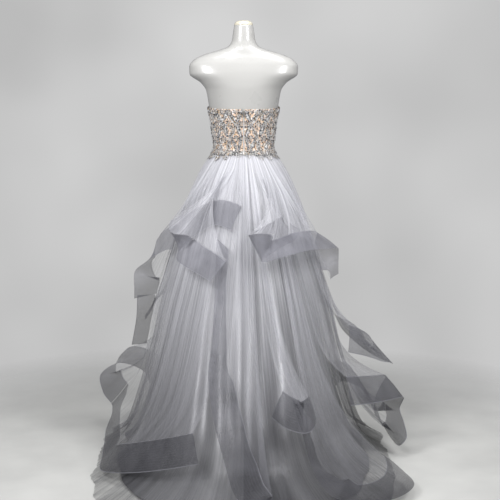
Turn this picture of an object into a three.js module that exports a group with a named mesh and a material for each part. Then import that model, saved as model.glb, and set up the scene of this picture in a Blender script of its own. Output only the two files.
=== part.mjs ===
// A strapless ball gown on a limbless dress form, in millimetres, +Z up.
// The form's stand is at the origin. The back of the gown, with its zip, faces -Y.
// Every place on the gown is given by a turn and a height: turn 0 is the centre back,
// 90 is the side at +X, 180 is the centre front, and negative turns are on the -X side.
import * as THREE from "three";

// Driving dimensions
const WAIST_SEAM = 1046;
const YOKE = 1000;
const SEAM_GAP = 0.4;
const SKIRT_WALL = 1.2;
const BODICE_WALL = 2.2;
const BRAID_WALL = 1.4;
const BRAID_WIDTH = 95;
const FORM_CLEARANCE = 0.6;
const GATHERS = 20;
const SATIN_FOLDS = 12;
const LAYER_SPREAD = 4;
const BASE_RADIUS = 175;
const BASE_HEIGHT = 10;
const POLE_RADIUS = 16;
const FORM_BOTTOM = 850;

// The zip's slider: the pull tab's pin is at y and z, pin is its distance from the slider's
// face, and body is the thickness of the slider behind that face.
const ZIP = { y: -103.2, z: 1202, pin: 1.35, body: 3, width: 3 };

const SILVER_TULLE = { color: 0xb9bac2, roughness: 0.75, metalness: 0 };
const GREY_BRAID = { color: 0x85858f, roughness: 0.5, metalness: 0 };
const SATIN = { color: 0xc8c9ce, roughness: 0.35, metalness: 0 };
const NUDE_LACE = { color: 0xc9b29a, roughness: 0.6, metalness: 0 };
const GLOSS_WHITE = { color: 0xe9e8e4, roughness: 0.18, metalness: 0 };
const STEEL = { color: 0xb8b8ba, roughness: 0.3, metalness: 1 };

// The skirt's own outline: its half width, its depth to the back and to the front at each
// height, and how square the back half is. 2 is an oval; the train on the floor is squarer.
const SKIRT = [
  { z: 0, side: 505, back: 880, front: 440, square: 3.8 },
  { z: 22, side: 462, back: 768, front: 405, square: 3.1 },
  { z: 50, side: 428, back: 655, front: 378, square: 2.5 },
  { z: 85, side: 408, back: 590, front: 362, square: 2.25 },
  { z: 160, side: 382, back: 520, front: 342, square: 2.05 },
  { z: 240, side: 358, back: 468, front: 320, square: 2 },
  { z: 360, side: 325, back: 400, front: 290, square: 2 },
  { z: 500, side: 295, back: 335, front: 262, square: 2 },
  { z: 635, side: 256, back: 281, front: 228, square: 2 },
  { z: 775, side: 216, back: 224, front: 186, square: 2 },
  { z: 915, side: 178, back: 168, front: 147, square: 2 },
  { z: YOKE, side: 145, back: 122, front: 116, square: 2 },
  { z: WAIST_SEAM, side: 116, back: 90.5, front: 92.5, square: 2 },
];

// The bodice's outside at each height. Its front is cut wider for the bust.
const BODICE = [
  { z: 1050, side: 122.6, back: 97.2, front: 99.2, square: 2 },
  { z: 1060, side: 116.6, back: 91.5, front: 93.5, square: 2 },
  { z: 1072, side: 113, back: 88, front: 90, square: 2 },
  { z: 1100, side: 114.5, back: 89, front: 93, square: 2 },
  { z: 1145, side: 120, back: 93, front: 104, square: 2 },
  { z: 1190, side: 127, back: 97, front: 116, square: 2 },
  { z: 1250, side: 137, back: 102, front: 122, square: 2 },
];

// The bodice's top and bottom edges. The bottom edge follows the tips of the lace motifs.
const TOP_EDGE = [
  { turn: 0, z: 1212 },
  { turn: 40, z: 1214 },
  { turn: 82, z: 1221 },
  { turn: 122, z: 1233 },
  { turn: 150, z: 1240 },
  { turn: 180, z: 1221 },
];
const LOWER_EDGE = [
  { turn: 0, z: 1045 },
  { turn: 6, z: 1042 },
  { turn: 11, z: 1035 },
  { turn: 17, z: 1043 },
  { turn: 26, z: 1042 },
  { turn: 35, z: 1027 },
  { turn: 44, z: 1041 },
  { turn: 53, z: 1026 },
  { turn: 62, z: 1041 },
  { turn: 74, z: 1032 },
  { turn: 85, z: 1042 },
  { turn: 97, z: 1029 },
  { turn: 109, z: 1042 },
  { turn: 121, z: 1030 },
  { turn: 133, z: 1042 },
  { turn: 146, z: 1030 },
  { turn: 158, z: 1042 },
  { turn: 170, z: 1034 },
  { turn: 180, z: 1043 },
];

// The raised lace motifs on one quarter of the bodice, mirrored to the other three: where
// the middle of each leaf is, how long and wide it is, and how far it leans.
const LEAVES = [
  { turn: 9, z: 1188, length: 46, width: 16, lean: -25 },
  { turn: 23, z: 1178, length: 52, width: 18, lean: 32 },
  { turn: 37, z: 1194, length: 44, width: 16, lean: -22 },
  { turn: 51, z: 1176, length: 54, width: 18, lean: 26 },
  { turn: 66, z: 1190, length: 48, width: 16, lean: -25 },
  { turn: 81, z: 1168, length: 50, width: 18, lean: 20 },
  { turn: 10, z: 1134, length: 54, width: 16, lean: 20 },
  { turn: 26, z: 1126, length: 46, width: 15, lean: -32 },
  { turn: 41, z: 1140, length: 54, width: 18, lean: 15 },
  { turn: 57, z: 1122, length: 46, width: 15, lean: -26 },
  { turn: 73, z: 1130, length: 50, width: 16, lean: 25 },
  { turn: 9, z: 1086, length: 40, width: 13, lean: -15 },
  { turn: 21, z: 1084, length: 46, width: 14, lean: 25 },
  { turn: 35, z: 1074, length: 52, width: 16, lean: -12 },
  { turn: 53, z: 1070, length: 52, width: 16, lean: 10 },
  { turn: 74, z: 1078, length: 46, width: 15, lean: -15 },
];
const RELIEF = 1.5;

// The dress form: half width, depth to the back and to the front, and how square it is.
const FORM = [
  { z: FORM_BOTTOM, side: 146, back: 104, front: 96, square: 2 },
  { z: 862, side: 156, back: 114, front: 106, square: 2 },
  { z: 910, side: 158, back: 116, front: 108, square: 2 },
  { z: 960, side: 146, back: 106, front: 101, square: 2 },
  { z: 1010, side: 124, back: 94, front: 93, square: 2 },
  { z: 1046, side: 112.5, back: 87.1, front: 89.1, square: 2 },
  { z: 1072, side: 109.8, back: 84.8, front: 86.8, square: 2 },
  { z: 1100, side: 111.3, back: 85.8, front: 89.8, square: 2 },
  { z: 1145, side: 116, back: 89.8, front: 99.4, square: 2 },
  { z: 1190, side: 123, back: 93.8, front: 111.6, square: 2 },
  { z: 1245, side: 131, back: 96, front: 112, square: 2.1 },
  { z: 1285, side: 139, back: 97, front: 100, square: 2.25 },
  { z: 1312, side: 158, back: 95, front: 88, square: 2.5 },
  { z: 1345, side: 200, back: 90, front: 76, square: 2.7 },
  { z: 1372, side: 201, back: 82, front: 66, square: 2.8 },
  { z: 1398, side: 183, back: 71, front: 56, square: 2.6 },
  { z: 1417, side: 145, back: 62, front: 48, square: 2.3 },
  { z: 1432, side: 94, back: 56, front: 44, square: 2.1 },
  { z: 1448, side: 56, back: 49, front: 41, square: 2 },
  { z: 1468, side: 44, back: 43, front: 39, square: 2 },
  { z: 1500, side: 39, back: 38, front: 38, square: 2 },
  { z: 1524, side: 35, back: 34, front: 34, square: 2 },
];
const NECK_CAP = [
  { z: 1524.4, side: 35, back: 34, front: 34, square: 2 },
  { z: 1533, side: 33, back: 32, front: 32, square: 2 },
  { z: 1540, side: 24, back: 23, front: 23, square: 2 },
  { z: 1543, side: 10, back: 10, front: 10, square: 2 },
];

// The flounces. Each row is a point of the free edge: its turn in degrees, its reach from the
// gown's axis, its height, flare, the angle from hanging straight down at which the stiff
// braid leaves the cloth there, and lean, how far it swings sideways, 0 where it isn't given.
// roots are the turns between which it is sewn into the waist. layer counts outwards from the
// satin, hug says how long the cloth stays on the skirt before it stands away, swing, 1.4 where
// it isn't given, how late it turns towards its place on the free edge, seam, 0.5 where it isn't
// given, the gap at the braid's seam, and split the share of the free edge at which a side seam
// cuts a long flounce in two.
const FLOUNCES = {
  upper_left: {
    side: -1,
    layer: 5,
    hug: 1.3,
    roots: [8.5, 40],
    hem: [
      { turn: 10.5, reach: 247, height: 792, flare: 26 },
      { turn: 22.5, reach: 247, height: 808, flare: 26 },
      { turn: 34, reach: 249, height: 790, flare: 24 },
      { turn: 44.5, reach: 268, height: 753, flare: 16, lean: 8 },
      { turn: 47.5, reach: 306, height: 714, flare: 20, lean: 10 },
      { turn: 43, reach: 340, height: 690, flare: 32, lean: 4 },
      { turn: 34, reach: 358, height: 672, flare: 38 },
      { turn: 25, reach: 366, height: 652, flare: 38 },
      { turn: 17.5, reach: 368, height: 628, flare: 36, lean: -8 },
    ],
  },
  side_left: {
    side: -1,
    layer: 3,
    seam: 3,
    hug: 3,
    swing: 2,
    roots: [42, 85],
    hem: [
      { turn: 66, reach: 284, height: 708, flare: 16 },
      { turn: 72, reach: 285, height: 706, flare: 20 },
      { turn: 78, reach: 296, height: 698, flare: 28 },
      { turn: 83.5, reach: 325, height: 678, flare: 40 },
      { turn: 88, reach: 366, height: 648, flare: 55 },
      { turn: 91, reach: 404, height: 612, flare: 72 },
      { turn: 91.5, reach: 406, height: 548, flare: 54, lean: -40 },
    ],
  },
  side_cascade: {
    side: -1,
    layer: 3,
    seam: 3,
    hug: 4,
    roots: [87, 94],
    hem: [
      { turn: 85, reach: 392, height: 532, flare: 42, lean: -75 },
      { turn: 84, reach: 394, height: 460, flare: 38, lean: -75 },
      { turn: 84, reach: 402, height: 405, flare: 38, lean: -72 },
      { turn: 84, reach: 412, height: 352, flare: 38, lean: -70 },
    ],
  },
  front_left: {
    side: -1,
    layer: 3,
    seam: 3,
    hug: 3,
    roots: [97, 178],
    hem: [
      { turn: 107, reach: 392, height: 415, flare: 30 },
      { turn: 113, reach: 408, height: 430, flare: 34 },
      { turn: 119, reach: 405, height: 455, flare: 36 },
      { turn: 126, reach: 415, height: 480, flare: 42 },
      { turn: 135, reach: 394, height: 496, flare: 36 },
      { turn: 144, reach: 350, height: 478, flare: 26 },
      { turn: 152, reach: 350, height: 435, flare: 24 },
      { turn: 160, reach: 372, height: 420, flare: 28 },
      { turn: 168, reach: 358, height: 430, flare: 28 },
      { turn: 175, reach: 325, height: 450, flare: 12 },
    ],
  },
  upper_right: {
    side: 1,
    layer: 5,
    seam: 3,
    hug: 1.7,
    swing: 2,
    roots: [16, 60],
    hem: [
      { turn: 49, reach: 266, height: 786, flare: 7, lean: -16 },
      { turn: 46, reach: 267, height: 766, flare: 8, lean: -24 },
      { turn: 41, reach: 268, height: 750, flare: 10, lean: -28 },
      { turn: 31, reach: 273, height: 735, flare: 14, lean: -22 },
      { turn: 19.5, reach: 296, height: 716, flare: 24, lean: -16 },
      { turn: 10, reach: 342, height: 697, flare: 42, lean: -8 },
      { turn: 13, reach: 380, height: 699, flare: 54 },
      { turn: 22, reach: 396, height: 717, flare: 58 },
      { turn: 33, reach: 402, height: 732, flare: 56 },
      { turn: 45, reach: 394, height: 730, flare: 54 },
      { turn: 58, reach: 376, height: 724, flare: 54 },
      { turn: 70, reach: 360, height: 716, flare: 56 },
      { turn: 80, reach: 352, height: 700, flare: 48, lean: 26 },
      { turn: 86, reach: 350, height: 660, flare: 24, lean: 55 },
      { turn: 87, reach: 350, height: 608, flare: 18, lean: 68 },
    ],
  },
  side_right: {
    side: 1,
    layer: 3,
    seam: 0.8,
    hug: 10,
    roots: [62, 178],
    split: 0.5,
    hem: [
      { turn: 54, reach: 446, height: 372, flare: 18 },
      { turn: 64, reach: 480, height: 346, flare: 26 },
      { turn: 74, reach: 516, height: 313, flare: 36 },
      { turn: 84, reach: 542, height: 290, flare: 46 },
      { turn: 94, reach: 550, height: 268, flare: 54 },
      { turn: 104, reach: 492, height: 290, flare: 42 },
      { turn: 114, reach: 422, height: 362, flare: 28 },
      { turn: 124, reach: 415, height: 430, flare: 36 },
      { turn: 133, reach: 400, height: 455, flare: 36 },
      { turn: 142, reach: 352, height: 470, flare: 26 },
      { turn: 151, reach: 348, height: 482, flare: 26 },
      { turn: 160, reach: 364, height: 490, flare: 34 },
      { turn: 168, reach: 348, height: 475, flare: 28 },
      { turn: 175, reach: 320, height: 455, flare: 12 },
    ],
  },
  centre_back: {
    side: 1,
    layer: 3,
    seam: 1,
    hug: 4,
    roots: [-8, 6.5],
    hem: [
      { turn: -21, reach: 260, height: 762, flare: 76, lean: -75 },
      { turn: -18.8, reach: 298, height: 680, flare: 76, lean: -75 },
      { turn: -16.5, reach: 350, height: 560, flare: 75, lean: -75 },
      { turn: -14.6, reach: 412, height: 440, flare: 70, lean: -75 },
      { turn: -14.5, reach: 462, height: 350, flare: 55, lean: -70 },
      { turn: -11.5, reach: 532, height: 262, flare: 48, lean: -60 },
      { turn: -8.4, reach: 592, height: 190, flare: 45, lean: -50 },
      { turn: -4.8, reach: 668, height: 108, flare: 50, lean: -40 },
      { turn: -2, reach: 770, height: 56, flare: 62, lean: -20 },
      { turn: 2, reach: 845, height: 28, flare: 72 },
      { turn: 6, reach: 852, height: 26, flare: 74 },
    ],
  },
  centre_flute: {
    side: 1,
    layer: 3,
    seam: 1.8,
    hug: 7,
    roots: [7.5, 15.5],
    hem: [
      { turn: 9.5, reach: 548, height: 222, flare: 18 },
      { turn: 13, reach: 602, height: 200, flare: 30 },
      { turn: 17.5, reach: 632, height: 190, flare: 35 },
      { turn: 21.5, reach: 608, height: 196, flare: 30 },
      { turn: 24, reach: 572, height: 212, flare: 20 },
    ],
  },
  lower_left: {
    side: -1,
    layer: 2,
    seam: 0.8,
    hug: 20,
    roots: [9, 178],
    split: 0.5,
    hem: [
      { turn: 12.5, reach: 650, height: 104, flare: 14 },
      { turn: 21, reach: 660, height: 82, flare: 16 },
      { turn: 30, reach: 662, height: 58, flare: 20 },
      { turn: 39, reach: 655, height: 36, flare: 28 },
      { turn: 47.5, reach: 640, height: 22, flare: 40 },
      { turn: 54, reach: 590, height: 40, flare: 42 },
      { turn: 62, reach: 545, height: 62, flare: 35 },
      { turn: 71, reach: 515, height: 80, flare: 34 },
      { turn: 80, reach: 486, height: 105, flare: 34 },
      { turn: 88, reach: 484, height: 112, flare: 36 },
      { turn: 94, reach: 496, height: 118, flare: 44 },
      { turn: 101, reach: 545, height: 145, flare: 60 },
      { turn: 107.5, reach: 578, height: 195, flare: 68 },
      { turn: 114, reach: 528, height: 228, flare: 60 },
      { turn: 121, reach: 456, height: 190, flare: 36 },
      { turn: 129, reach: 468, height: 118, flare: 30 },
      { turn: 138, reach: 462, height: 112, flare: 28 },
      { turn: 147, reach: 425, height: 160, flare: 26 },
      { turn: 157, reach: 440, height: 160, flare: 34 },
      { turn: 167, reach: 435, height: 122, flare: 32 },
      { turn: 175, reach: 400, height: 95, flare: 14 },
    ],
  },
  lower_right: {
    side: 1,
    layer: 2,
    hug: 8,
    roots: [29, 37],
    hem: [
      { turn: 18.5, reach: 500, height: 262, flare: 68, lean: -75 },
      { turn: 18, reach: 602, height: 176, flare: 64, lean: -68 },
      { turn: 17.8, reach: 692, height: 96, flare: 60, lean: -55 },
      { turn: 19, reach: 790, height: 50, flare: 62, lean: -25 },
      { turn: 25, reach: 850, height: 30, flare: 72 },
      { turn: 33.5, reach: 850, height: 28, flare: 74 },
      { turn: 42, reach: 800, height: 30, flare: 72 },
      { turn: 47.5, reach: 695, height: 34, flare: 66 },
    ],
  },
  middle_right: {
    side: 1,
    layer: 2,
    hug: 14,
    roots: [38, 178],
    split: 0.5,
    hem: [
      { turn: 41.6, reach: 535, height: 224, flare: 22 },
      { turn: 51, reach: 548, height: 216, flare: 28 },
      { turn: 62, reach: 566, height: 206, flare: 35 },
      { turn: 74, reach: 590, height: 190, flare: 44 },
      { turn: 79.5, reach: 572, height: 134, flare: 44 },
      { turn: 74, reach: 592, height: 100, flare: 44 },
      { turn: 68, reach: 612, height: 66, flare: 46 },
      { turn: 68, reach: 584, height: 36, flare: 42 },
      { turn: 77, reach: 540, height: 36, flare: 35 },
      { turn: 88, reach: 510, height: 60, flare: 30 },
      { turn: 100, reach: 500, height: 105, flare: 34 },
      { turn: 110, reach: 468, height: 150, flare: 34 },
      { turn: 118, reach: 438, height: 160, flare: 28 },
      { turn: 127, reach: 450, height: 125, flare: 28 },
      { turn: 136, reach: 472, height: 105, flare: 34 },
      { turn: 145, reach: 445, height: 125, flare: 28 },
      { turn: 153, reach: 420, height: 155, flare: 26 },
      { turn: 161, reach: 434, height: 146, flare: 30 },
      { turn: 168, reach: 426, height: 120, flare: 28 },
      { turn: 175, reach: 400, height: 95, flare: 14 },
    ],
  },
};

const radians = THREE.MathUtils.degToRad;
const mix = THREE.MathUtils.lerp;
const clamp = THREE.MathUtils.clamp;

// Smooth reading of one column of a table whose first column, knot, only rises.
// The slopes are limited so that the curve never overshoots its rows.
function read(rows, knot, column, at) {
  const last = rows.length - 1;
  const x = clamp(at, rows[0][knot], rows[last][knot]);
  let i = 0;
  while (i < last - 1 && x > rows[i + 1][knot]) i += 1;
  const rise = (k) =>
    (rows[k + 1][column] - rows[k][column]) / (rows[k + 1][knot] - rows[k][knot]);
  const slope = (k) => {
    if (k === 0) return rise(0);
    if (k === last) return rise(last - 1);
    const [before, after] = [rise(k - 1), rise(k)];
    return before * after <= 0 ? 0 : (2 * before * after) / (before + after);
  };
  const span = rows[i + 1][knot] - rows[i][knot];
  const t = (x - rows[i][knot]) / span;
  const [a, b] = [rows[i][column], rows[i + 1][column]];
  const [p, q] = [slope(i) * span, slope(i + 1) * span];
  return (
    (2 * t ** 3 - 3 * t ** 2 + 1) * a +
    (t ** 3 - 2 * t ** 2 + t) * p +
    (3 * t ** 2 - 2 * t ** 3) * b +
    (t ** 3 - t ** 2) * q
  );
}

// Catmull-Rom reading of one column of a hem table at u from 0 to 1.
function along(rows, column, u) {
  const last = rows.length - 1;
  const x = clamp(u, 0, 1) * last;
  const i = Math.min(Math.floor(x), last - 1);
  const t = x - i;
  const value = (k) => rows[clamp(k, 0, last)][column] ?? 0;
  const [a, b, c, d] = [value(i - 1), value(i), value(i + 1), value(i + 2)];
  return (
    b +
    0.5 * t * (c - a + t * (2 * a - 5 * b + 4 * c - d + t * (3 * (b - c) + d - a)))
  );
}

// Distance from the axis to the outline of a table at a turn and a height.
function outline(table, turn, z, everywhere = false) {
  const a = radians(turn);
  const back = Math.cos(a) > 0;
  const side = read(table, "z", "side", z);
  const depth = read(table, "z", back ? "back" : "front", z);
  const n = back || everywhere ? read(table, "z", "square", z) : 2;
  const share = Math.abs(Math.sin(a) / side) ** n + Math.abs(Math.cos(a) / depth) ** n;
  return share ** (-1 / n);
}

// The point at a turn, a distance from the axis, and a height.
function at(turn, reach, z) {
  const a = radians(turn);
  return new THREE.Vector3(reach * Math.sin(a), -reach * Math.cos(a), z);
}

const turnOf = (point) => THREE.MathUtils.radToDeg(Math.atan2(point.x, -point.y));

// How far down the skirt a height is: 0 at the waist seam, 1 at the floor.
const down = (z) => clamp((WAIST_SEAM - z) / WAIST_SEAM, 0, 1);

// Folds in the hanging cloth: none at the waist seam, and deeper towards the hem.
const foldDepth = (z) => 15 * down(z) ** 0.8;

function gather(turn) {
  const a = radians(turn);
  return Math.cos(GATHERS * a + 1.1 * Math.sin(2 * a + 0.7) + 0.6 * Math.sin(5 * a + 2.1));
}

function satinFold(turn) {
  const a = radians(turn);
  return Math.cos(SATIN_FOLDS * a + 0.9 * Math.sin(3 * a + 0.4));
}

// Each skirt layer lies a little further out. At most three lie on each other at the waist.
function layerOut(layer, z) {
  const apart = Math.min(layer, 3) * (SKIRT_WALL + SEAM_GAP);
  return apart + layer * LAYER_SPREAD * Math.min(1, 5 * down(z));
}

function tulleReach(turn, z) {
  return outline(SKIRT, turn, z) + foldDepth(z) * gather(turn) + layerOut(1, z);
}

function satinReach(turn, z) {
  const inside = 34 * clamp((WAIST_SEAM - z) / 500, 0, 1) ** 0.7 + SKIRT_WALL + SEAM_GAP;
  const train = 0.3 * Math.max(0, outline(SKIRT, turn, z) - outline(SKIRT, turn, 85));
  return outline(SKIRT, turn, z) - inside - train + 0.5 * foldDepth(z) * satinFold(turn);
}

// The closest that a flounce of this layer may lie to the axis: clear of every fold below.
function skin(layer, turn, z) {
  return outline(SKIRT, turn, z) + foldDepth(z) + layerOut(layer, z);
}

// A closed wall of the given thickness behind the surface that place(u, v) describes, with
// u and v from 0 to 1. relief(u, v) raises the outer points only. The wall is closed round
// its four edges, and its faces are turned to point outwards. Where crumpled(v) is true the
// thickness is measured from the wall's flat faces, and so it stays whole in sharp folds.
function wall({ place, columns, rows, thickness, crumpled = () => false, relief = () => 0 }) {
  const [across, down] = [columns.length, rows.length];
  const outer = (i, j) => j * across + i;
  const inner = (i, j) => across * down + j * across + i;
  const faces = [];
  const quad = (a, b, c, d) => faces.push(a, b, c, a, c, d);
  const step = 1e-3;
  const normal = (u, v) => {
    const du = place(u + step, v).sub(place(u - step, v));
    const dv = place(u, v + step).sub(place(u, v - step));
    return du.cross(dv).normalize();
  };
  const facing = normal(0.5, 0.02).dot(place(0.5, 0.02).setZ(0)) < 0 ? -1 : 1;
  const grid = rows.flatMap((v) => columns.map((u) => ({ u, v, point: place(u, v) })));
  const folded = faceNormals(grid.map(({ point }) => point), across);
  const squares = grid.map(({ u, v }, k) => (crumpled(v) ? folded[k] : normal(u, v)));
  const moved = (out) =>
    grid.map(({ u, v, point }, k) =>
      point.clone().addScaledVector(squares[k], out(u, v) * facing),
    );
  const points = [...moved(relief), ...moved(() => -thickness)];
  for (let j = 0; j < down - 1; j += 1) {
    for (let i = 0; i < across - 1; i += 1) {
      quad(outer(i, j), outer(i + 1, j), outer(i + 1, j + 1), outer(i, j + 1));
      quad(inner(i, j), inner(i, j + 1), inner(i + 1, j + 1), inner(i + 1, j));
    }
  }
  const [right, low] = [across - 1, down - 1];
  for (let i = 0; i < right; i += 1) {
    quad(outer(i + 1, 0), outer(i, 0), inner(i, 0), inner(i + 1, 0));
    quad(outer(i, low), outer(i + 1, low), inner(i + 1, low), inner(i, low));
  }
  for (let j = 0; j < low; j += 1) {
    quad(outer(0, j), outer(0, j + 1), inner(0, j + 1), inner(0, j));
    quad(outer(right, j + 1), outer(right, j), inner(right, j), inner(right, j + 1));
  }
  return facingOut(points, faces);
}

// The direction square to a grid of points at each of them, from the faces round it.
function faceNormals(points, across) {
  const faces = [];
  for (let a = 0; a + across < points.length; a += 1) {
    if (a % across === across - 1) continue;
    faces.push(a, a + 1, a + across + 1, a, a + across + 1, a + across);
  }
  const geometry = new THREE.BufferGeometry().setFromPoints(points);
  geometry.setIndex(faces);
  geometry.computeVertexNormals();
  const normals = geometry.getAttribute("normal");
  return points.map((_, k) => new THREE.Vector3().fromBufferAttribute(normals, k));
}

// An indexed geometry whose faces point outwards, whichever way round they were listed.
function facingOut(points, faces) {
  let volume = 0;
  for (let k = 0; k < faces.length; k += 3) {
    const [a, b, c] = [points[faces[k]], points[faces[k + 1]], points[faces[k + 2]]];
    volume += a.dot(b.clone().cross(c));
  }
  if (volume < 0) faces.reverse();
  const geometry = new THREE.BufferGeometry().setFromPoints(points);
  geometry.setIndex(faces);
  geometry.computeVertexNormals();
  return geometry;
}

// Evenly spaced numbers from 0 to 1.
const steps = (count) => Array.from({ length: count + 1 }, (_, i) => i / count);

function piece(name, geometry, look) {
  const mesh = new THREE.Mesh(geometry, new THREE.MeshStandardMaterial(look));
  mesh.name = name;
  return mesh;
}

// One gore of a skirt layer between two turns, a seam gap short of its neighbours.
function gore({ name, look, reach, from, to, heights, columns, thickness }) {
  const place = (u, v) => {
    const z = read(heights, "v", "z", v);
    const gap = THREE.MathUtils.radToDeg(SEAM_GAP / 2 / reach(from, z));
    const turn = mix(from + gap, to - gap, u);
    return at(turn, reach(turn, z), z);
  };
  const rows = heights.map((row) => row.v);
  return piece(name, wall({ place, columns: steps(columns), rows, thickness }), look);
}

// Rows of v from 0 to 1 for a list of heights.
const stations = (list) => list.map((z, i) => ({ v: i / (list.length - 1), z }));

function gores(name, look, reach, list, share, columns) {
  const heights = stations(list);
  return Array.from({ length: 360 / share }, (_, i) =>
    gore({
      name: `${name}_${i + 1}`,
      look,
      reach,
      from: i * share,
      to: (i + 1) * share,
      heights,
      columns,
      thickness: SKIRT_WALL,
    }),
  );
}

// The free edge of a flounce at u, never closer to the skirt than its own layer.
function hemPoint(flounce, u) {
  const turn = flounce.side * along(flounce.hem, "turn", u);
  const z = along(flounce.hem, "height", u);
  const least = skin(flounce.layer, turn, z) + 4;
  return at(turn, Math.max(along(flounce.hem, "reach", u), least), z);
}

// The line where the braid joins the cloth: one braid's width from the free edge and square
// to it, on the side that flare and lean give.
function braidTop(flounce, u) {
  const hem = hemPoint(flounce, u);
  const tangent = hemPoint(flounce, Math.min(u + 0.004, 1))
    .sub(hemPoint(flounce, Math.max(u - 0.004, 0)))
    .normalize();
  const flare = radians(along(flounce.hem, "flare", u));
  const lean = radians(along(flounce.hem, "lean", u));
  const a = radians(flounce.side * along(flounce.hem, "turn", u));
  const sideways = flounce.side * Math.sin(lean) * Math.cos(flare);
  const hang = new THREE.Vector3(
    Math.sin(a) * Math.sin(flare) + Math.cos(a) * sideways,
    -Math.cos(a) * Math.sin(flare) + Math.sin(a) * sideways,
    -Math.cos(flare) * Math.cos(lean),
  );
  const across = hang.addScaledVector(tangent, -hang.dot(tangent));
  const top = hem.addScaledVector(across, -BRAID_WIDTH / Math.max(across.length(), 0.5));
  const least = skin(flounce.layer, turnOf(top), top.z);
  return at(turnOf(top), Math.max(Math.hypot(top.x, top.y), least), top.z);
}

// The cloth of a flounce from the waist seam, v 0, to its braid, v 1. Down to the yoke line,
// v YOKE_SHARE, it lies on the skirt, and from there it stands away more and more.
const YOKE_SHARE = 0.1;
function clothPoint(flounce, u, v) {
  const top = braidTop(flounce, u);
  const root = flounce.side * mix(...flounce.roots, u);
  const wrap = 360 * Math.round((root - turnOf(top)) / 360);
  const turn = mix(root, turnOf(top) + wrap, Math.max(v, 0) ** (flounce.swing ?? 1.4));
  const whole = 1 - (flounce.seam ?? 0.5) / (YOKE - top.z);
  const s = whole * Math.max((v - YOKE_SHARE) / (1 - YOKE_SHARE), 0);
  const z = s > 0 ? mix(YOKE, top.z, s) : mix(WAIST_SEAM, YOKE, v / YOKE_SHARE);
  const lift = Math.hypot(top.x, top.y) - skin(flounce.layer, turnOf(top), top.z);
  return at(turn, skin(flounce.layer, turn, z) + lift * s ** flounce.hug, z);
}

// The cloth panels of a flounce and the braid on each. SIDE_SEAM is half the gap between two
// panels, as a share of the free edge.
const SIDE_SEAM = 0.0014;
function flounce(name, shape) {
  const start = (0.65 * (shape.seam ?? 0.5)) / BRAID_WIDTH;
  const cuts = shape.split ? [0, shape.split, 1] : [0, 1];
  const made = [];
  for (let k = 0; k + 1 < cuts.length; k += 1) {
    const label = shape.split ? `${name}_${k === 0 ? "back" : "front"}` : name;
    const from = cuts[k] + (k > 0 ? SIDE_SEAM : 0);
    const to = cuts[k + 1] - (k + 2 < cuts.length ? SIDE_SEAM : 0);
    const share = (u) => mix(from, to, u);
    const perRow = k === 0 ? 1.8 : 1.5;
    const columns = steps(Math.round(perRow * (to - from) * (shape.hem.length - 1)));
    const falls = [0.12, 0.34, 0.6, 0.82, 1].map((f) => mix(YOKE_SHARE, 1, f));
    const cloth = wall({
      place: (u, v) => clothPoint(shape, share(u), v),
      columns,
      rows: [0, YOKE_SHARE, ...falls],
      thickness: SKIRT_WALL,
      crumpled: (v) => v > 0,
    });
    const braid = wall({
      place: (u, v) =>
        braidTop(shape, share(u)).lerp(hemPoint(shape, share(u)), mix(start, 1, v)),
      columns,
      rows: [0, 1],
      thickness: BRAID_WALL,
      crumpled: () => true,
    });
    made.push(piece(`flounce_${label}`, cloth, SILVER_TULLE));
    made.push(piece(`braid_${label}`, braid, GREY_BRAID));
  }
  return made;
}

// The bodice's outside, and below the waist the outside of the skirt layers that it laps.
function bodiceReach(turn, z) {
  const bust = z > 1100 ? 15 * bump(turn, z) : 0;
  if (z >= 1050) return outline(BODICE, turn, z) + bust;
  const lap = skin(5, turn, z) + FORM_CLEARANCE + BODICE_WALL;
  return mix(lap, outline(BODICE, turn, 1050), clamp((z - WAIST_SEAM) / 4, 0, 1));
}

// The fullness of the bust at a turn and a height, from 0 to 1.
function bump(turn, z) {
  const off = Math.abs(180 - Math.abs(((turn + 540) % 360) - 180)) - 30;
  return Math.exp(-((off / 19) ** 2) - ((z - 1200) / 34) ** 2);
}

// The height of the raised lace at a turn and a height.
function lace(turn, z) {
  const t = Math.abs(((turn + 540) % 360) - 180);
  const folded = Math.min(t, 180 - t);
  let most = 0;
  for (const leaf of LEAVES) {
    const across = radians(folded - leaf.turn) * 106;
    const up = z - leaf.z;
    const lean = radians(leaf.lean);
    const long = (up * Math.cos(lean) + across * Math.sin(lean)) / (leaf.length / 2);
    const wide = (across * Math.cos(lean) - up * Math.sin(lean)) / (leaf.width / 2);
    most = Math.max(most, 1 - long ** 2 - wide ** 2);
  }
  return RELIEF * Math.min(1, 1.6 * Math.max(most, 0));
}

function bodicePanel(name, from, to, columns, rows) {
  const gap = THREE.MathUtils.radToDeg(SEAM_GAP / 2 / 100);
  const where = (u, v) => {
    const turn = mix(from + gap, to - gap, u);
    const t = Math.abs(((turn + 540) % 360) - 180);
    return [turn, mix(read(TOP_EDGE, "turn", "z", t), read(LOWER_EDGE, "turn", "z", t), v)];
  };
  const place = (u, v) => {
    const [turn, z] = where(u, v);
    return at(turn, bodiceReach(turn, z), z);
  };
  const relief = (u, v) => {
    const edge = Math.min(u, 1 - u, v, 1 - v);
    return edge < 0.01 ? 0 : lace(...where(u, v));
  };
  const geometry = wall({
    place,
    columns: steps(columns),
    rows: steps(rows),
    thickness: BODICE_WALL,
    relief,
  });
  return piece(name, geometry, NUDE_LACE);
}

function bodice() {
  return [
    bodicePanel("bodice_back_right", 1.9, 40, 9, 16),
    bodicePanel("bodice_back_left", -40, -1.9, 9, 16),
    bodicePanel("bodice_side_back_right", 40, 82, 7, 12),
    bodicePanel("bodice_side_back_left", -82, -40, 7, 12),
    bodicePanel("bodice_side_front_right", 82, 128, 6, 9),
    bodicePanel("bodice_side_front_left", -128, -82, 6, 9),
    bodicePanel("bodice_front", 128, 232, 12, 9),
  ];
}

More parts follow.
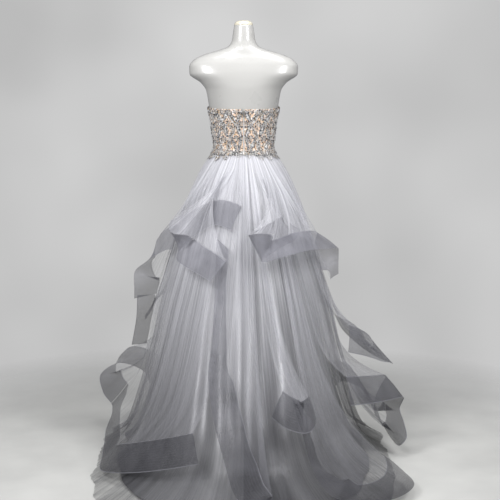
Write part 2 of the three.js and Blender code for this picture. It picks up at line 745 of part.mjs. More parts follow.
// The closed centre back zip: its tape and teeth fill the gap between the back panels.
function zip() {
  const half = 1.9 - THREE.MathUtils.radToDeg(SEAM_GAP / 2 / 90);
  const place = (u, v) => {
    const turn = mix(-half, half, u);
    const z = mix(1209, 1048, v);
    return at(turn, bodiceReach(turn, Math.max(z, 1050)) - 0.5, z);
  };
  return piece("zip_tape", wall({ place, columns: steps(2), rows: steps(6), thickness: 1.4 }), STEEL);
}

// Side view of the slider, y out of the back and z up from the pull tab's pin. The crown
// bridges the hole in which that pin turns.
function zipSlider() {
  const shape = new THREE.Shape([
    new THREE.Vector2(-ZIP.pin - ZIP.body, -5.5),
    new THREE.Vector2(-ZIP.pin, -5.5),
    new THREE.Vector2(-ZIP.pin, -4.2),
    new THREE.Vector2(1.9, -4.2),
    new THREE.Vector2(2.6, -3.4),
    new THREE.Vector2(2.6, 3.4),
    new THREE.Vector2(1.9, 4.2),
    new THREE.Vector2(-ZIP.pin, 4.2),
    new THREE.Vector2(-ZIP.pin, 5.5),
    new THREE.Vector2(-ZIP.pin - ZIP.body, 5.5),
  ]);
  const hole = new THREE.Path([
    new THREE.Vector2(-ZIP.pin, -2.8),
    new THREE.Vector2(1.35, -2.8),
    new THREE.Vector2(1.35, 2.8),
    new THREE.Vector2(-ZIP.pin, 2.8),
  ]);
  shape.holes.push(hole);
  const geometry = new THREE.ExtrudeGeometry(shape, { depth: ZIP.width, bevelEnabled: false });
  geometry.translate(0, 0, -ZIP.width / 2);
  const axes = new THREE.Matrix4().makeBasis(
    new THREE.Vector3(0, -1, 0),
    new THREE.Vector3(0, 0, 1),
    new THREE.Vector3(-1, 0, 0),
  );
  geometry.applyMatrix4(axes).translate(0, ZIP.y, ZIP.z);
  return piece("zip_slider", geometry, STEEL);
}

// The pull tab hangs from its pin, the bar above the window. The crown passes the window.
function zipPullTab() {
  const shape = new THREE.Shape([
    new THREE.Vector2(-3.4, 0.6),
    new THREE.Vector2(-3.4, -7.5),
    new THREE.Vector2(-2.2, -17.5),
    new THREE.Vector2(-1, -18.6),
    new THREE.Vector2(1, -18.6),
    new THREE.Vector2(2.2, -17.5),
    new THREE.Vector2(3.4, -7.5),
    new THREE.Vector2(3.4, 0.6),
  ]);
  const hole = new THREE.Path([
    new THREE.Vector2(-2.3, -0.6),
    new THREE.Vector2(-2.3, -6.2),
    new THREE.Vector2(2.3, -6.2),
    new THREE.Vector2(2.3, -0.6),
  ]);
  shape.holes.push(hole);
  const geometry = new THREE.ExtrudeGeometry(shape, { depth: 1.2, bevelEnabled: false });
  geometry.translate(0, 0, -0.6).rotateX(Math.PI / 2).translate(0, ZIP.y, ZIP.z);
  return piece("zip_pull_tab", geometry, STEEL);
}

// The hook that closes the top edge above the zip.
function hook() {
  const geometry = new THREE.BoxGeometry(3, 1, 9).translate(-5, -99.4, 1209);
  return piece("top_hook", geometry, STEEL);
}

// A closed solid through the outlines of a table, with flat ends.
function loft(rows, heights, columns, extra = () => 0) {
  const points = [];
  for (const z of heights) {
    for (let i = 0; i < columns; i += 1) {
      const turn = (360 * i) / columns;
      points.push(at(turn, outline(rows, turn, z, true) + extra(turn, z), z));
    }
  }
  const faces = [];
  const top = heights.length - 1;
  for (let j = 0; j < top; j += 1) {
    for (let i = 0; i < columns; i += 1) {
      const next = (i + 1) % columns;
      const [a, b] = [j * columns + i, j * columns + next];
      faces.push(a, b, b + columns, a, b + columns, a + columns);
    }
  }
  const low = points.push(new THREE.Vector3(0, 0, heights[0])) - 1;
  const high = points.push(new THREE.Vector3(0, 0, heights[top])) - 1;
  for (let i = 0; i < columns; i += 1) {
    const next = (i + 1) % columns;
    faces.push(low, next, i, high, top * columns + i, top * columns + next);
  }
  return facingOut(points, faces);
}

function dressForm() {
  const heights = FORM.map((row) => row.z);
  const bust = (turn, z) => (z > 1100 ? 11 * bump(turn, z) : 0);
  const disc = (radius, from, to) => {
    const geometry = new THREE.CylinderGeometry(radius, radius, to - from, 32);
    return geometry.rotateX(Math.PI / 2).translate(0, 0, (from + to) / 2);
  };
  return [
    piece("dress_form", loft(FORM, heights, 28, bust), GLOSS_WHITE),
    piece("neck_cap", loft(NECK_CAP, NECK_CAP.map((row) => row.z), 16), GLOSS_WHITE),
    piece("stand_pole", disc(POLE_RADIUS, BASE_HEIGHT + SEAM_GAP, FORM_BOTTOM - SEAM_GAP), STEEL),
    piece("stand_base", disc(BASE_RADIUS, 0, BASE_HEIGHT), STEEL),
  ];
}

const gown = new THREE.Group();
gown.add(...dressForm(), ...bodice(), zip(), zipSlider(), zipPullTab(), hook());
const tulleRows = [WAIST_SEAM, YOKE, 905, 740, 540, 330, 140, 45, 2];
gown.add(...gores("tulle_skirt", SILVER_TULLE, tulleReach, tulleRows, 45, 10));
const satinRows = [WAIST_SEAM, 960, 780, 520, 250, 70, 6];
gown.add(...gores("satin_skirt", SATIN, satinReach, satinRows, 60, 9));
for (const [name, shape] of Object.entries(FLOUNCES)) gown.add(...flounce(name, shape));

export default gown;
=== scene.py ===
# %% [markdown]
# # A strapless ball gown on a dress form
#
# This lesson dresses a set of plain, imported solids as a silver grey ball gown. The solids hold the
# sizes: a bodice, gathered tulle over satin, and loose flounces edged with stiff sheer braid.
# Each step says what the piece is on the real gown, how it could be made, and why this way was
# chosen. The gown's back, with its zip, faces -Y, and +Z is up.

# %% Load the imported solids
import math
import bpy
import numpy as np
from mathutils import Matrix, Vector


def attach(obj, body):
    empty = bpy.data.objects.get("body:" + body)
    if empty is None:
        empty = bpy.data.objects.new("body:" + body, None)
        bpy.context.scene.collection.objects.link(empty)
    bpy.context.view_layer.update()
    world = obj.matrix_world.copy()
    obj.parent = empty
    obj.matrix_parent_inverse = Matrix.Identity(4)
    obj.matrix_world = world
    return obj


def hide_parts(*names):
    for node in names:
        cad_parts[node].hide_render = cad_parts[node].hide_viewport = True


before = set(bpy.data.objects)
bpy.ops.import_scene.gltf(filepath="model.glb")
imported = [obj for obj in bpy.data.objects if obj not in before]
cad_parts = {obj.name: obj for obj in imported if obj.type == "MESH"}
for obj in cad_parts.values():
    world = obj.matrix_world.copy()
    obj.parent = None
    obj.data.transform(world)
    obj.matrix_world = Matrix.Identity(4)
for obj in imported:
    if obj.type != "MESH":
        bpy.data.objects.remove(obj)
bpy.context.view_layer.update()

# %% [markdown]
# ## The shapes under the cloth
#
# A skirt could be sculpted by hand, but then its layers would run through each other. Here every
# layer is worked out from one short table of sections, in millimetres, so each lies a known
# distance outside the last. A turn of 0 is the centre back, 90 the side at +X, 180 the front.

# %% Sections of the skirt, the bodice and the dress form
MM = 0.001
WAIST_SEAM, YOKE = 1046.0, 1000.0
BRAID_WIDTH = 95.0
SKIRT_WALL, SEAM_GAP, LAYER_SPREAD = 1.2, 0.4, 4.0

# height, half width, depth to the back, depth to the front, squareness of the back half
SKIRT = [
    (0, 505, 880, 440, 3.8), (22, 462, 768, 405, 3.1), (50, 428, 655, 378, 2.5),
    (85, 408, 590, 362, 2.25), (160, 382, 520, 342, 2.05), (240, 358, 468, 320, 2),
    (360, 325, 400, 290, 2), (500, 295, 335, 262, 2), (635, 256, 281, 228, 2),
    (775, 216, 224, 186, 2), (915, 178, 168, 147, 2), (YOKE, 145, 122, 116, 2),
    (WAIST_SEAM, 116, 90.5, 92.5, 2),
]
BODICE = [
    (1050, 122.6, 97.2, 99.2, 2), (1060, 116.6, 91.5, 93.5, 2), (1072, 113, 88, 90, 2),
    (1100, 114.5, 89, 93, 2), (1145, 120, 93, 104, 2), (1190, 127, 97, 116, 2),
    (1250, 137, 102, 122, 2),
]
FORM = [
    (850, 146, 104, 96, 2), (862, 156, 114, 106, 2), (910, 158, 116, 108, 2),
    (960, 146, 106, 101, 2), (1010, 124, 94, 93, 2), (1046, 112.5, 87.1, 89.1, 2),
    (1072, 109.8, 84.8, 86.8, 2), (1100, 111.3, 85.8, 89.8, 2), (1145, 116, 89.8, 99.4, 2),
    (1190, 123, 93.8, 111.6, 2), (1245, 131, 96, 112, 2.1), (1285, 139, 97, 100, 2.25),
    (1312, 158, 95, 88, 2.5), (1345, 200, 90, 76, 2.7), (1372, 201, 82, 66, 2.8),
    (1398, 183, 71, 56, 2.6), (1417, 145, 62, 48, 2.3), (1432, 94, 56, 44, 2.1),
    (1448, 56, 49, 41, 2), (1468, 44, 43, 39, 2), (1500, 39, 38, 38, 2), (1524, 35, 34, 34, 2),
]


def curve(rows, i):
    """A smooth reading of one column of a table, which never overshoots its rows."""
    x = np.array([row[0] for row in rows], float)
    y = np.array([row[i] for row in rows], float)
    rise = np.diff(y) / np.diff(x)
    low, high = rise[:-1], rise[1:]
    both = np.where(low + high == 0, 1, low + high)
    slope = np.concatenate([[rise[0]], np.where(low * high <= 0, 0, 2 * low * high / both), [rise[-1]]])

    def at(value):
        value = np.clip(value, x[0], x[-1])
        k = np.clip(np.searchsorted(x, value, side="right") - 1, 0, len(x) - 2)
        span = x[k + 1] - x[k]
        t = (value - x[k]) / span
        return ((2 * t**3 - 3 * t**2 + 1) * y[k] + (t**3 - 2 * t**2 + t) * slope[k] * span
                + (3 * t**2 - 2 * t**3) * y[k + 1] + (t**3 - t**2) * slope[k + 1] * span)
    return at


def sections(rows):
    return [curve(rows, i) for i in range(1, 5)]


SKIRT_SHAPE, BODICE_SHAPE, FORM_SHAPE = sections(SKIRT), sections(BODICE), sections(FORM)
print("half width of the skirt at the floor:", SKIRT_SHAPE[0](0.0))


# %% Distances from the axis
FOLDS, FOLD_DEPTH = 20, 15


def outline(shape, turn, z, all_round=False):
    """Distance from the axis to an outline, at turns in degrees and heights in millimetres."""
    a = np.radians(turn)
    side, rear, front, square = (c(z) for c in shape)
    back = np.cos(a) > 0
    depth = np.where(back, rear, front)
    n = np.where(back | all_round, square, 2.0)
    share = np.abs(np.sin(a) / side) ** n + np.abs(np.cos(a) / depth) ** n
    return share ** (-1 / n)


def down(z):
    """How far down the skirt a height is: 0 at the waist seam and 1 at the floor."""
    return np.clip((WAIST_SEAM - z) / WAIST_SEAM, 0, 1)


def fold_depth(z):
    return FOLD_DEPTH * down(z) ** 0.8


def gather(turn):
    """The skirt's large folds, from -1 to 1, unevenly spaced."""
    a = np.radians(turn)
    return np.cos(FOLDS * a + 1.1 * np.sin(2 * a + 0.7) + 0.6 * np.sin(5 * a + 2.1))


def layer_out(layer, z):
    return min(layer, 3) * (SKIRT_WALL + SEAM_GAP) + layer * LAYER_SPREAD * np.minimum(1, 5 * down(z))


def skin(layer, turn, z):
    """The closest that a flounce of this layer lies to the axis."""
    return outline(SKIRT_SHAPE, turn, z) + fold_depth(z) + layer_out(layer, z)


def spot(turn, distance, z):
    a = np.radians(turn)
    return np.stack(np.broadcast_arrays(distance * np.sin(a), -distance * np.cos(a), z), -1)


def turn_of(points):
    return np.degrees(np.arctan2(points[..., 0], -points[..., 1]))


def from_back(turn):
    """How far a turn is from the centre back, 0 to 180, on either side."""
    return np.abs((turn + 540) % 360 - 180)


print("a flounce of layer 2 at the side, half way down:", round(float(skin(2, 90.0, 500.0)), 1), "mm out")

# %% [markdown]
# ## Turning rows of points into cloth
#
# Cloth has no visible thickness at this size, so each piece is one thin sheet through rows of
# points. Its UV map holds real metres of cloth: x runs across the piece, along its free edge, and
# y down its fall. A weave or a gather drawn in that map then follows the cloth wherever it goes.

# %% Helpers for lengths, meshes and objects
def lengths(points, axis):
    """Distances along a grid of points, adding up from 0, in metres."""
    step = np.linalg.norm(np.diff(points, axis=axis), axis=-1)
    return np.concatenate([np.zeros_like(np.take(step, [0], axis)), np.cumsum(step, axis)], axis)


def add_object(name, data):
    made = bpy.data.objects.new(name, data)
    bpy.context.scene.collection.objects.link(made)
    return made


def smooth_object(name, points, faces, material):
    mesh = bpy.data.meshes.new(name)
    mesh.from_pydata(points, [], faces)
    mesh.polygons.foreach_set("use_smooth", np.ones(len(faces), bool))
    mesh.materials.append(material)
    return add_object(name, mesh)


def give(mesh, label, values, kind="FLOAT", field="value"):
    """Gives each point of a mesh a value, which a finish or a geometry tree can read."""
    mesh.attributes.new(label, kind, "POINT").data.foreach_set(field, values.ravel())


# %% Sheets and their cut
LEAST_FILL = 0.35


def sheet_mesh(name, points, material, closed=False, flip=False):
    """A thin sheet through rows (down) and columns (across) of points, in millimetres."""
    points = points * MM
    rows, columns = points.shape[:2]
    fall = np.repeat(np.linspace(0, 1, rows)[:, None], columns, 1)
    across = np.repeat(lengths(points, 1)[-1][None], rows, 0)
    drop = np.repeat(lengths(points, 0).mean(1)[:, None], columns, 1)
    kept = columns - 1 if closed else columns
    index = np.arange(rows * kept).reshape(rows, kept)
    if closed:
        index = np.concatenate([index, index[:, :1]], 1)
    corners, maps = ([grid[1:, :-1], grid[1:, 1:], grid[:-1, 1:], grid[:-1, :-1]]
                     for grid in (index, np.stack([across, drop], -1)))
    if flip:
        corners, maps = corners[::-1], maps[::-1]
    faces = np.stack([c.ravel() for c in corners], 1)
    made = smooth_object(name, points[:, :kept].reshape(-1, 3).tolist(), faces.tolist(), material)
    uv = made.data.uv_layers.new(name="cloth")
    uv.data.foreach_set("uv", np.stack([m.reshape(-1, 2) for m in maps], 1).ravel())
    give(made.data, "fall", fall[:, :kept])
    return made


def cut_of(made, points):
    """The flat size of a sheet: its widest row, its mean fall, and its area.

    A panel that fans out to a point is stated as the narrower strip that it is cut from. Of that
    strip it fills at least LEAST_FILL."""
    width = float(lengths(points * MM, 1)[:, -1].max())
    length = float(lengths(points * MM, 0)[-1].mean())
    area = float(sum(p.area for p in made.data.polygons))
    width = min(width, area / (LEAST_FILL * length))
    return (width, length), min(area, width * length)


def fasten(made, slot, *nodes):
    """Fastens a piece to the gown's body, in the place of the solids that it stands for."""
    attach(made, "gown")
    if nodes:
        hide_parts(*nodes)
    return made


def hang(made, points, nodes, slot):
    """Fastens a cloth piece and states its cut."""
    fasten(made, slot, *nodes)
    flat, area = cut_of(made, points)
    print(f"{made.name}: cut {flat[0]:.2f} by {flat[1]:.2f} m, {area:.2f} square metres")


# %% [markdown]
# ## Finishes
#
# A cloth material could be one colour, but net, braid and satin are told apart by how they let
# light through and how they catch it. Their patterns are node groups, each made once: the streaks
# of gathered cloth, which net, braid and satin share, the cells of net, which the lace shares,
# and the diagonal threads of braid. Net and satin also take painted light and shade from the
# streaks, and net, braid and satin have painted shade that darkens them towards the floor.

# %% Helpers for shader nodes
def node(tree, kind, inputs=(), **settings):
    """Adds a node, sets its options, and links or fills its inputs."""
    made = tree.nodes.new(kind)
    for key, value in settings.items():
        setattr(made, key, value)
    for key, value in dict(inputs).items():
        socket = made.inputs[key]
        if isinstance(value, bpy.types.NodeSocket):
            tree.links.new(value, socket)
        else:
            socket.default_value = value
    return made


def math_node(tree, operation, *values, clamp=False):
    made = node(tree, "ShaderNodeMath", enumerate(values), operation=operation, use_clamp=clamp)
    return made.outputs[0]


def product(tree, one, two, clamp=False):
    return math_node(tree, "MULTIPLY", one, two, clamp=clamp)


def spread(tree, value, low, high, to_low=0.0, to_high=1.0):
    """Turns low to high of a value into to_low to to_high, and holds it there beyond them."""
    inputs = {"Value": value, "From Min": low, "From Max": high, "To Min": to_low, "To Max": to_high}
    return node(tree, "ShaderNodeMapRange", inputs).outputs[0]


def blend_colour(tree, share, one, two):
    """Blends two colours, each a socket or three numbers."""
    one, two = (c if isinstance(c, bpy.types.NodeSocket) else (*c, 1) for c in (one, two))
    return node(tree, "ShaderNodeMix", {0: share, 6: one, 7: two}, data_type="RGBA").outputs[2]


# %% Helpers for patterns, places and finishes
def noise(tree, place, scale, detail):
    inputs = {"Vector": place, "Scale": scale, "Detail": detail}
    return node(tree, "ShaderNodeTexNoise", inputs).outputs[0]


def flat_cells(tree, place, scale, randomness, **settings):
    inputs = {"Vector": place, "Scale": scale, "Randomness": randomness}
    return node(tree, "ShaderNodeTexVoronoi", inputs, voronoi_dimensions="2D", **settings).outputs


def object_place(tree):
    return node(tree, "ShaderNodeTexCoord").outputs["Object"]


def cloth_map(tree):
    return node(tree, "ShaderNodeUVMap", uv_map="cloth").outputs[0]


def parts_of(tree, vector):
    return node(tree, "ShaderNodeSeparateXYZ", {0: vector}).outputs


def point_value(tree, label):
    return node(tree, "ShaderNodeAttribute", attribute_name=label).outputs["Fac"]


def bump(tree, strength, distance, height):
    inputs = {"Strength": strength, "Distance": distance, "Height": height}
    return node(tree, "ShaderNodeBump", inputs).outputs[0]


def wire(shader, **values):
    """Links values to a shader's inputs. An underscore is the space in an input's name."""
    for key, value in values.items():
        shader.id_data.links.new(value, shader.inputs[key.replace("_", " ")])


def shader_group(name, inputs, outputs):
    tree = bpy.data.node_groups.new(name, "ShaderNodeTree")
    for label, value in inputs.items():
        socket = tree.interface.new_socket(label, in_out="INPUT", socket_type="NodeSocketFloat")
        socket.default_value = value
    for label in outputs:
        tree.interface.new_socket(label, in_out="OUTPUT", socket_type="NodeSocketFloat")
    return tree, tree.nodes.new("NodeGroupInput").outputs, tree.nodes.new("NodeGroupOutput").inputs


def use(tree, name, **values):
    made = node(tree, "ShaderNodeGroup", node_tree=bpy.data.node_groups[name])
    for label, value in values.items():
        made.inputs[label].default_value = value
    return made.outputs


# %% Gathered streaks: long soft lines down the cloth, coarse ones with fine ones on them
tree, given, put = shader_group("gathered streaks", {"Across": 90.0, "Along": 1.1, "Start": 0.0},
                                ["Fine", "Broad"])
parts = parts_of(tree, cloth_map(tree))
shifted = math_node(tree, "ADD", parts[0], given["Start"])
for label, share, detail in (("Fine", 1.0, 3.0), ("Broad", 0.2, 2.0)):
    x = product(tree, shifted, product(tree, given["Across"], share))
    y = product(tree, parts[1], given["Along"])
    place = node(tree, "ShaderNodeCombineXYZ", {0: x, 1: y, 2: share}).outputs[0]
    tree.links.new(spread(tree, noise(tree, place, 1.0, detail), 0.32, 0.68), put[label])

# %% Net cells: the hexagons of tulle, about 1.6 mm across
tree, given, put = shader_group("net cells", {"Cells": 620.0}, ["Thread"])
cells = flat_cells(tree, cloth_map(tree), given["Cells"], 0.25, feature="DISTANCE_TO_EDGE")
tree.links.new(spread(tree, cells["Distance"], 0.04, 0.2, 1.0, 0.0), put["Thread"])


# %% Diagonal threads: two crossing sets of stiff threads, as in sheer braid
def ridges(tree, angle):
    return math_node(tree, "ABSOLUTE", math_node(tree, "SINE", angle))


tree, given, put = shader_group("diagonal threads", {"Threads": 420.0}, ["Thread", "Height"])
parts = parts_of(tree, cloth_map(tree))
rate = product(tree, given["Threads"], math.pi)
ways = [ridges(tree, product(tree, math_node(tree, sign, parts[0], parts[1]), rate))
        for sign in ("ADD", "SUBTRACT")]
most = math_node(tree, "MAXIMUM", *ways)
tree.links.new(spread(tree, most, 0.6, 0.95), put["Thread"])
tree.links.new(most, put["Height"])
print("shared patterns:", [g.name for g in bpy.data.node_groups])


# %% Sheer net: dense where it is gathered and thin towards its free edge, with painted shade that greys it towards the floor and between its streaks
def principled(name, **constants):
    made = bpy.data.materials.new(name)
    made.use_nodes = True
    shader = made.node_tree.nodes["Principled BSDF"]
    for key, value in constants.items():
        shader.inputs[key.replace("_", " ")].default_value = value
    return made, made.node_tree, shader


def net_material(name, pale, grey, gathered, free, across, start=0.0):
    """gathered and free are how much of the light the net stops at the waist and at its edge."""
    made, tree, shader = principled(name, Roughness=0.8, Sheen_Weight=0.25, Sheen_Roughness=0.5,
                                    Specular_IOR_Level=0.2)
    streaks = use(tree, "gathered streaks", Across=across, Start=start)
    cells = use(tree, "net cells")
    height = parts_of(tree, object_place(tree))[2]
    # Painted shade: the colour darkens with height, from pale at the waist to grey at the floor, and
    # between the streaks it is a darker, shaded copy of that colour.
    lower = math_node(tree, "POWER", spread(tree, height, WAIST_SEAM * MM, 0.0), 1.9)
    light = math_node(tree, "MULTIPLY_ADD", streaks["Fine"], 0.55, product(tree, streaks["Broad"], 0.45))
    painted_shade_tone = blend_colour(tree, lower, [c * 0.78 for c in pale], [c * 0.42 for c in grey])
    painted_lit_tone = blend_colour(tree, lower, pale, grey)
    close = spread(tree, point_value(tree, "fall"), 0.0, 0.75, gathered, free)
    marked = product(tree, close, spread(tree, light, 0.15, 0.85, 0.5, 1.4))
    woven = product(tree, marked, spread(tree, cells["Thread"], 0, 1, 0.9, 1.15), clamp=True)
    wire(shader, Base_Color=blend_colour(tree, light, painted_shade_tone, painted_lit_tone), Alpha=woven,
         Normal=bump(tree, 0.35, 0.001, streaks["Fine"]))
    return made


# The second colour of each net is the painted shade that it darkens to at the floor.
SKIRT_NET = net_material("gathered silver net", (0.80, 0.80, 0.84), (0.065, 0.065, 0.075),
                         gathered=0.86, free=0.40, across=110.0)
FLOUNCE_NET = net_material("loose silver net", (0.76, 0.76, 0.81), (0.12, 0.12, 0.14),
                           gathered=0.72, free=0.26, across=120.0, start=3.7)
print("net:", SKIRT_NET.name, "and", FLOUNCE_NET.name)


# %% Stiff sheer braid: diagonal threads, a firmer cord along both edges, and painted shade that darkens it towards the floor
def braid_material():
    made, tree, shader = principled("sheer grey braid", Roughness=0.5, Sheen_Weight=0.08,
                                    Sheen_Roughness=0.4, Specular_IOR_Level=0.3)
    threads = use(tree, "diagonal threads")
    streaks = use(tree, "gathered streaks", Across=14.0, Along=9.0)
    drop = parts_of(tree, cloth_map(tree))[1]
    height = parts_of(tree, object_place(tree))[2]
    off_middle = math_node(tree, "ABSOLUTE", math_node(tree, "SUBTRACT", drop, BRAID_WIDTH * MM / 2))
    edge = spread(tree, off_middle, 0.0445, 0.0465)
    rib = spread(tree, ridges(tree, product(tree, drop, 420.0)), 0.9, 1.0)
    tone = blend_colour(tree, streaks["Fine"], (0.12, 0.12, 0.15), (0.30, 0.30, 0.345))
    worn = blend_colour(tree, product(tree, threads["Thread"], 0.3), tone, (0.4, 0.4, 0.44))
    # Painted shade: the braid's body darkens towards the floor, while its edge cord keeps its own colour.
    shade = spread(tree, height, 0.02, 0.72, 0.20, 0.86)
    body = node(tree, "ShaderNodeVectorMath", {0: worn, 3: shade}, operation="SCALE").outputs[0]
    lined = math_node(tree, "MULTIPLY_ADD", rib, 0.07, product(tree, edge, 0.6))
    cover = math_node(tree, "MULTIPLY_ADD", rib, 0.06, spread(tree, threads["Thread"], 0, 1, 0.38, 0.64))
    dense = product(tree, cover, spread(tree, height, 0.02, 0.5, 1.25, 1.0))
    closed = math_node(tree, "MULTIPLY_ADD", edge, 0.3, dense, clamp=True)
    wire(shader, Base_Color=blend_colour(tree, lined, body, (0.25, 0.25, 0.28)), Alpha=closed,
         Normal=bump(tree, 0.3, 0.0004, threads["Height"]))
    return made


BRAID = braid_material()


# %% Satin: smooth, closely woven, with long soft reflections, and painted highlights and shade in its colour
def satin_material():
    made, tree, shader = principled("silver satin", Roughness=0.36, Sheen_Weight=0.1, Sheen_Roughness=0.3,
                                    Specular_IOR_Level=0.7, Metallic=0.4)
    streaks = use(tree, "gathered streaks", Across=26.0, Along=1.6, Start=1.3)
    # Painted light: the pale tone is a painted highlight along the broad streaks, the dark one painted
    # shade between them, and both darken towards the hem as painted shade.
    lower = math_node(tree, "POWER", point_value(tree, "fall"), 1.6)
    tone = blend_colour(tree, lower, (0.97, 0.97, 1.0), (0.50, 0.50, 0.52))
    painted_deep_shade = blend_colour(tree, lower, (0.46, 0.46, 0.50), (0.025, 0.025, 0.03))
    wire(shader, Base_Color=blend_colour(tree, streaks["Broad"], painted_deep_shade, tone),
         Normal=bump(tree, 0.2, 0.004, streaks["Broad"]))
    return made


SATIN = satin_material()
print("braid and satin:", BRAID.name, SATIN.name)

# %% [markdown]
# ## Satin and tulle skirt
#
# The satin underskirt carries the light: its soft folds and the painted highlights in its colour show
# through the net as bright streaks.
# It hangs from the waist seam to the floor in gores. The tulle over it is gathered into the same
# seam, so its folds are crowded at the waist and spread towards the hem. Both are rings of points
# from the sections, closed all the way round.

# %% Satin underskirt
SATIN_DEPTH = 34
TRAIN_FROM = 85.0


def satin_at(turn, z):
    """Distance from the axis to the satin, well inside the tulle and shorter in the train."""
    a = np.radians(turn)
    reach = outline(SKIRT_SHAPE, turn, z)
    inside = SATIN_DEPTH * np.clip((WAIST_SEAM - z) / 500, 0, 1) ** 0.7 + SKIRT_WALL + SEAM_GAP
    train = 0.3 * np.maximum(0, reach - outline(SKIRT_SHAPE, turn, TRAIN_FROM + 0 * z))
    fold = 0.5 * fold_depth(z) * np.cos(12 * a + 0.9 * np.sin(3 * a + 0.4))
    wander = 3 * np.sin(2 * a) + 1.6 * np.sin(z / 170 + 2 * np.sin(3 * a))
    crease = 5.5 * down(z) ** 0.7 * np.sin(19 * a + wander)
    return reach - inside - train + fold + crease


turns, heights = np.meshgrid(np.linspace(0, 360, 481), np.linspace(WAIST_SEAM, 6, 80))
satin_points = spot(turns, satin_at(turns, heights), heights)
satin = sheet_mesh("satin_underskirt", satin_points, SATIN, closed=True)
hang(satin, satin_points, [f"satin_skirt_{i}" for i in range(1, 7)], "satin")


# %% Tulle skirt
HIP_REACH = 130.0


def slit(turn, z, depth=3.5, half_width=3.2, low=905, fade=60):
    """The placket below the zip: a narrow groove that closes by the hip."""
    across = np.radians(from_back(turn)) * HIP_REACH
    return depth * np.exp(-((across / half_width) ** 2)) * np.clip((z - low) / fade, 0, 1)


rng = np.random.default_rng(11)
WAVES = [(int(n), rng.uniform(0, 6.3), rng.uniform(0.4, 1.0), rng.uniform(-2.2, 2.2))
         for n in rng.integers(22, 150, 36)]


def fine_gathers(turn, z):
    """Uneven folds: many waves whose strength comes and goes round the skirt and down it."""
    a, fall = np.radians(turn), down(z)
    total = 0
    for count, start, size, drift in WAVES:
        here = np.clip(0.5 + np.sin((count % 7 + 2) * a + start * 2 + 3 * drift * fall), 0, None)
        total = total + size * here * (60 / count) ** 0.6 * np.cos(count * a + start + drift * fall)
    return np.minimum(1, 4 * fall + 0.08) * (0.15 + 0.5 * fall) * total


def tulle_at(turn, z):
    a = np.radians(turn)
    uneven = 0.42 + 0.4 * np.sin(3 * a + 1.1 * np.sin(5 * a) + 2 * down(z))
    folded = fold_depth(z) * gather(turn + 1.6 * np.sin(9 * a + 1)) * uneven + layer_out(1, z)
    return outline(SKIRT_SHAPE, turn, z) + folded + fine_gathers(turn, z) - slit(turn, z)


drops = np.concatenate([np.linspace(WAIST_SEAM, 90, 46), np.linspace(80, 2, 14)])
turns, heights = np.meshgrid(np.linspace(0, 360, 1201), drops)
tulle_points = spot(turns, tulle_at(turns, heights), heights)
tulle = sheet_mesh("tulle_skirt", tulle_points, SKIRT_NET, closed=True)
hang(tulle, tulle_points, [f"tulle_skirt_{i}" for i in range(1, 9)], "tulle")

# %% [markdown]
# ## Flounces and their stiff braid
#
# A flounce is a loose panel of net sewn in at the waist, with a wide strip of stiff braid along
# its free edge that makes it stand out and curl. Pinning cloth and letting it fall would not give
# the same loops twice. So the free edge of each flounce is a short table of points, the braid is
# laid square to that edge, and the cloth is drawn from the waist to the braid.

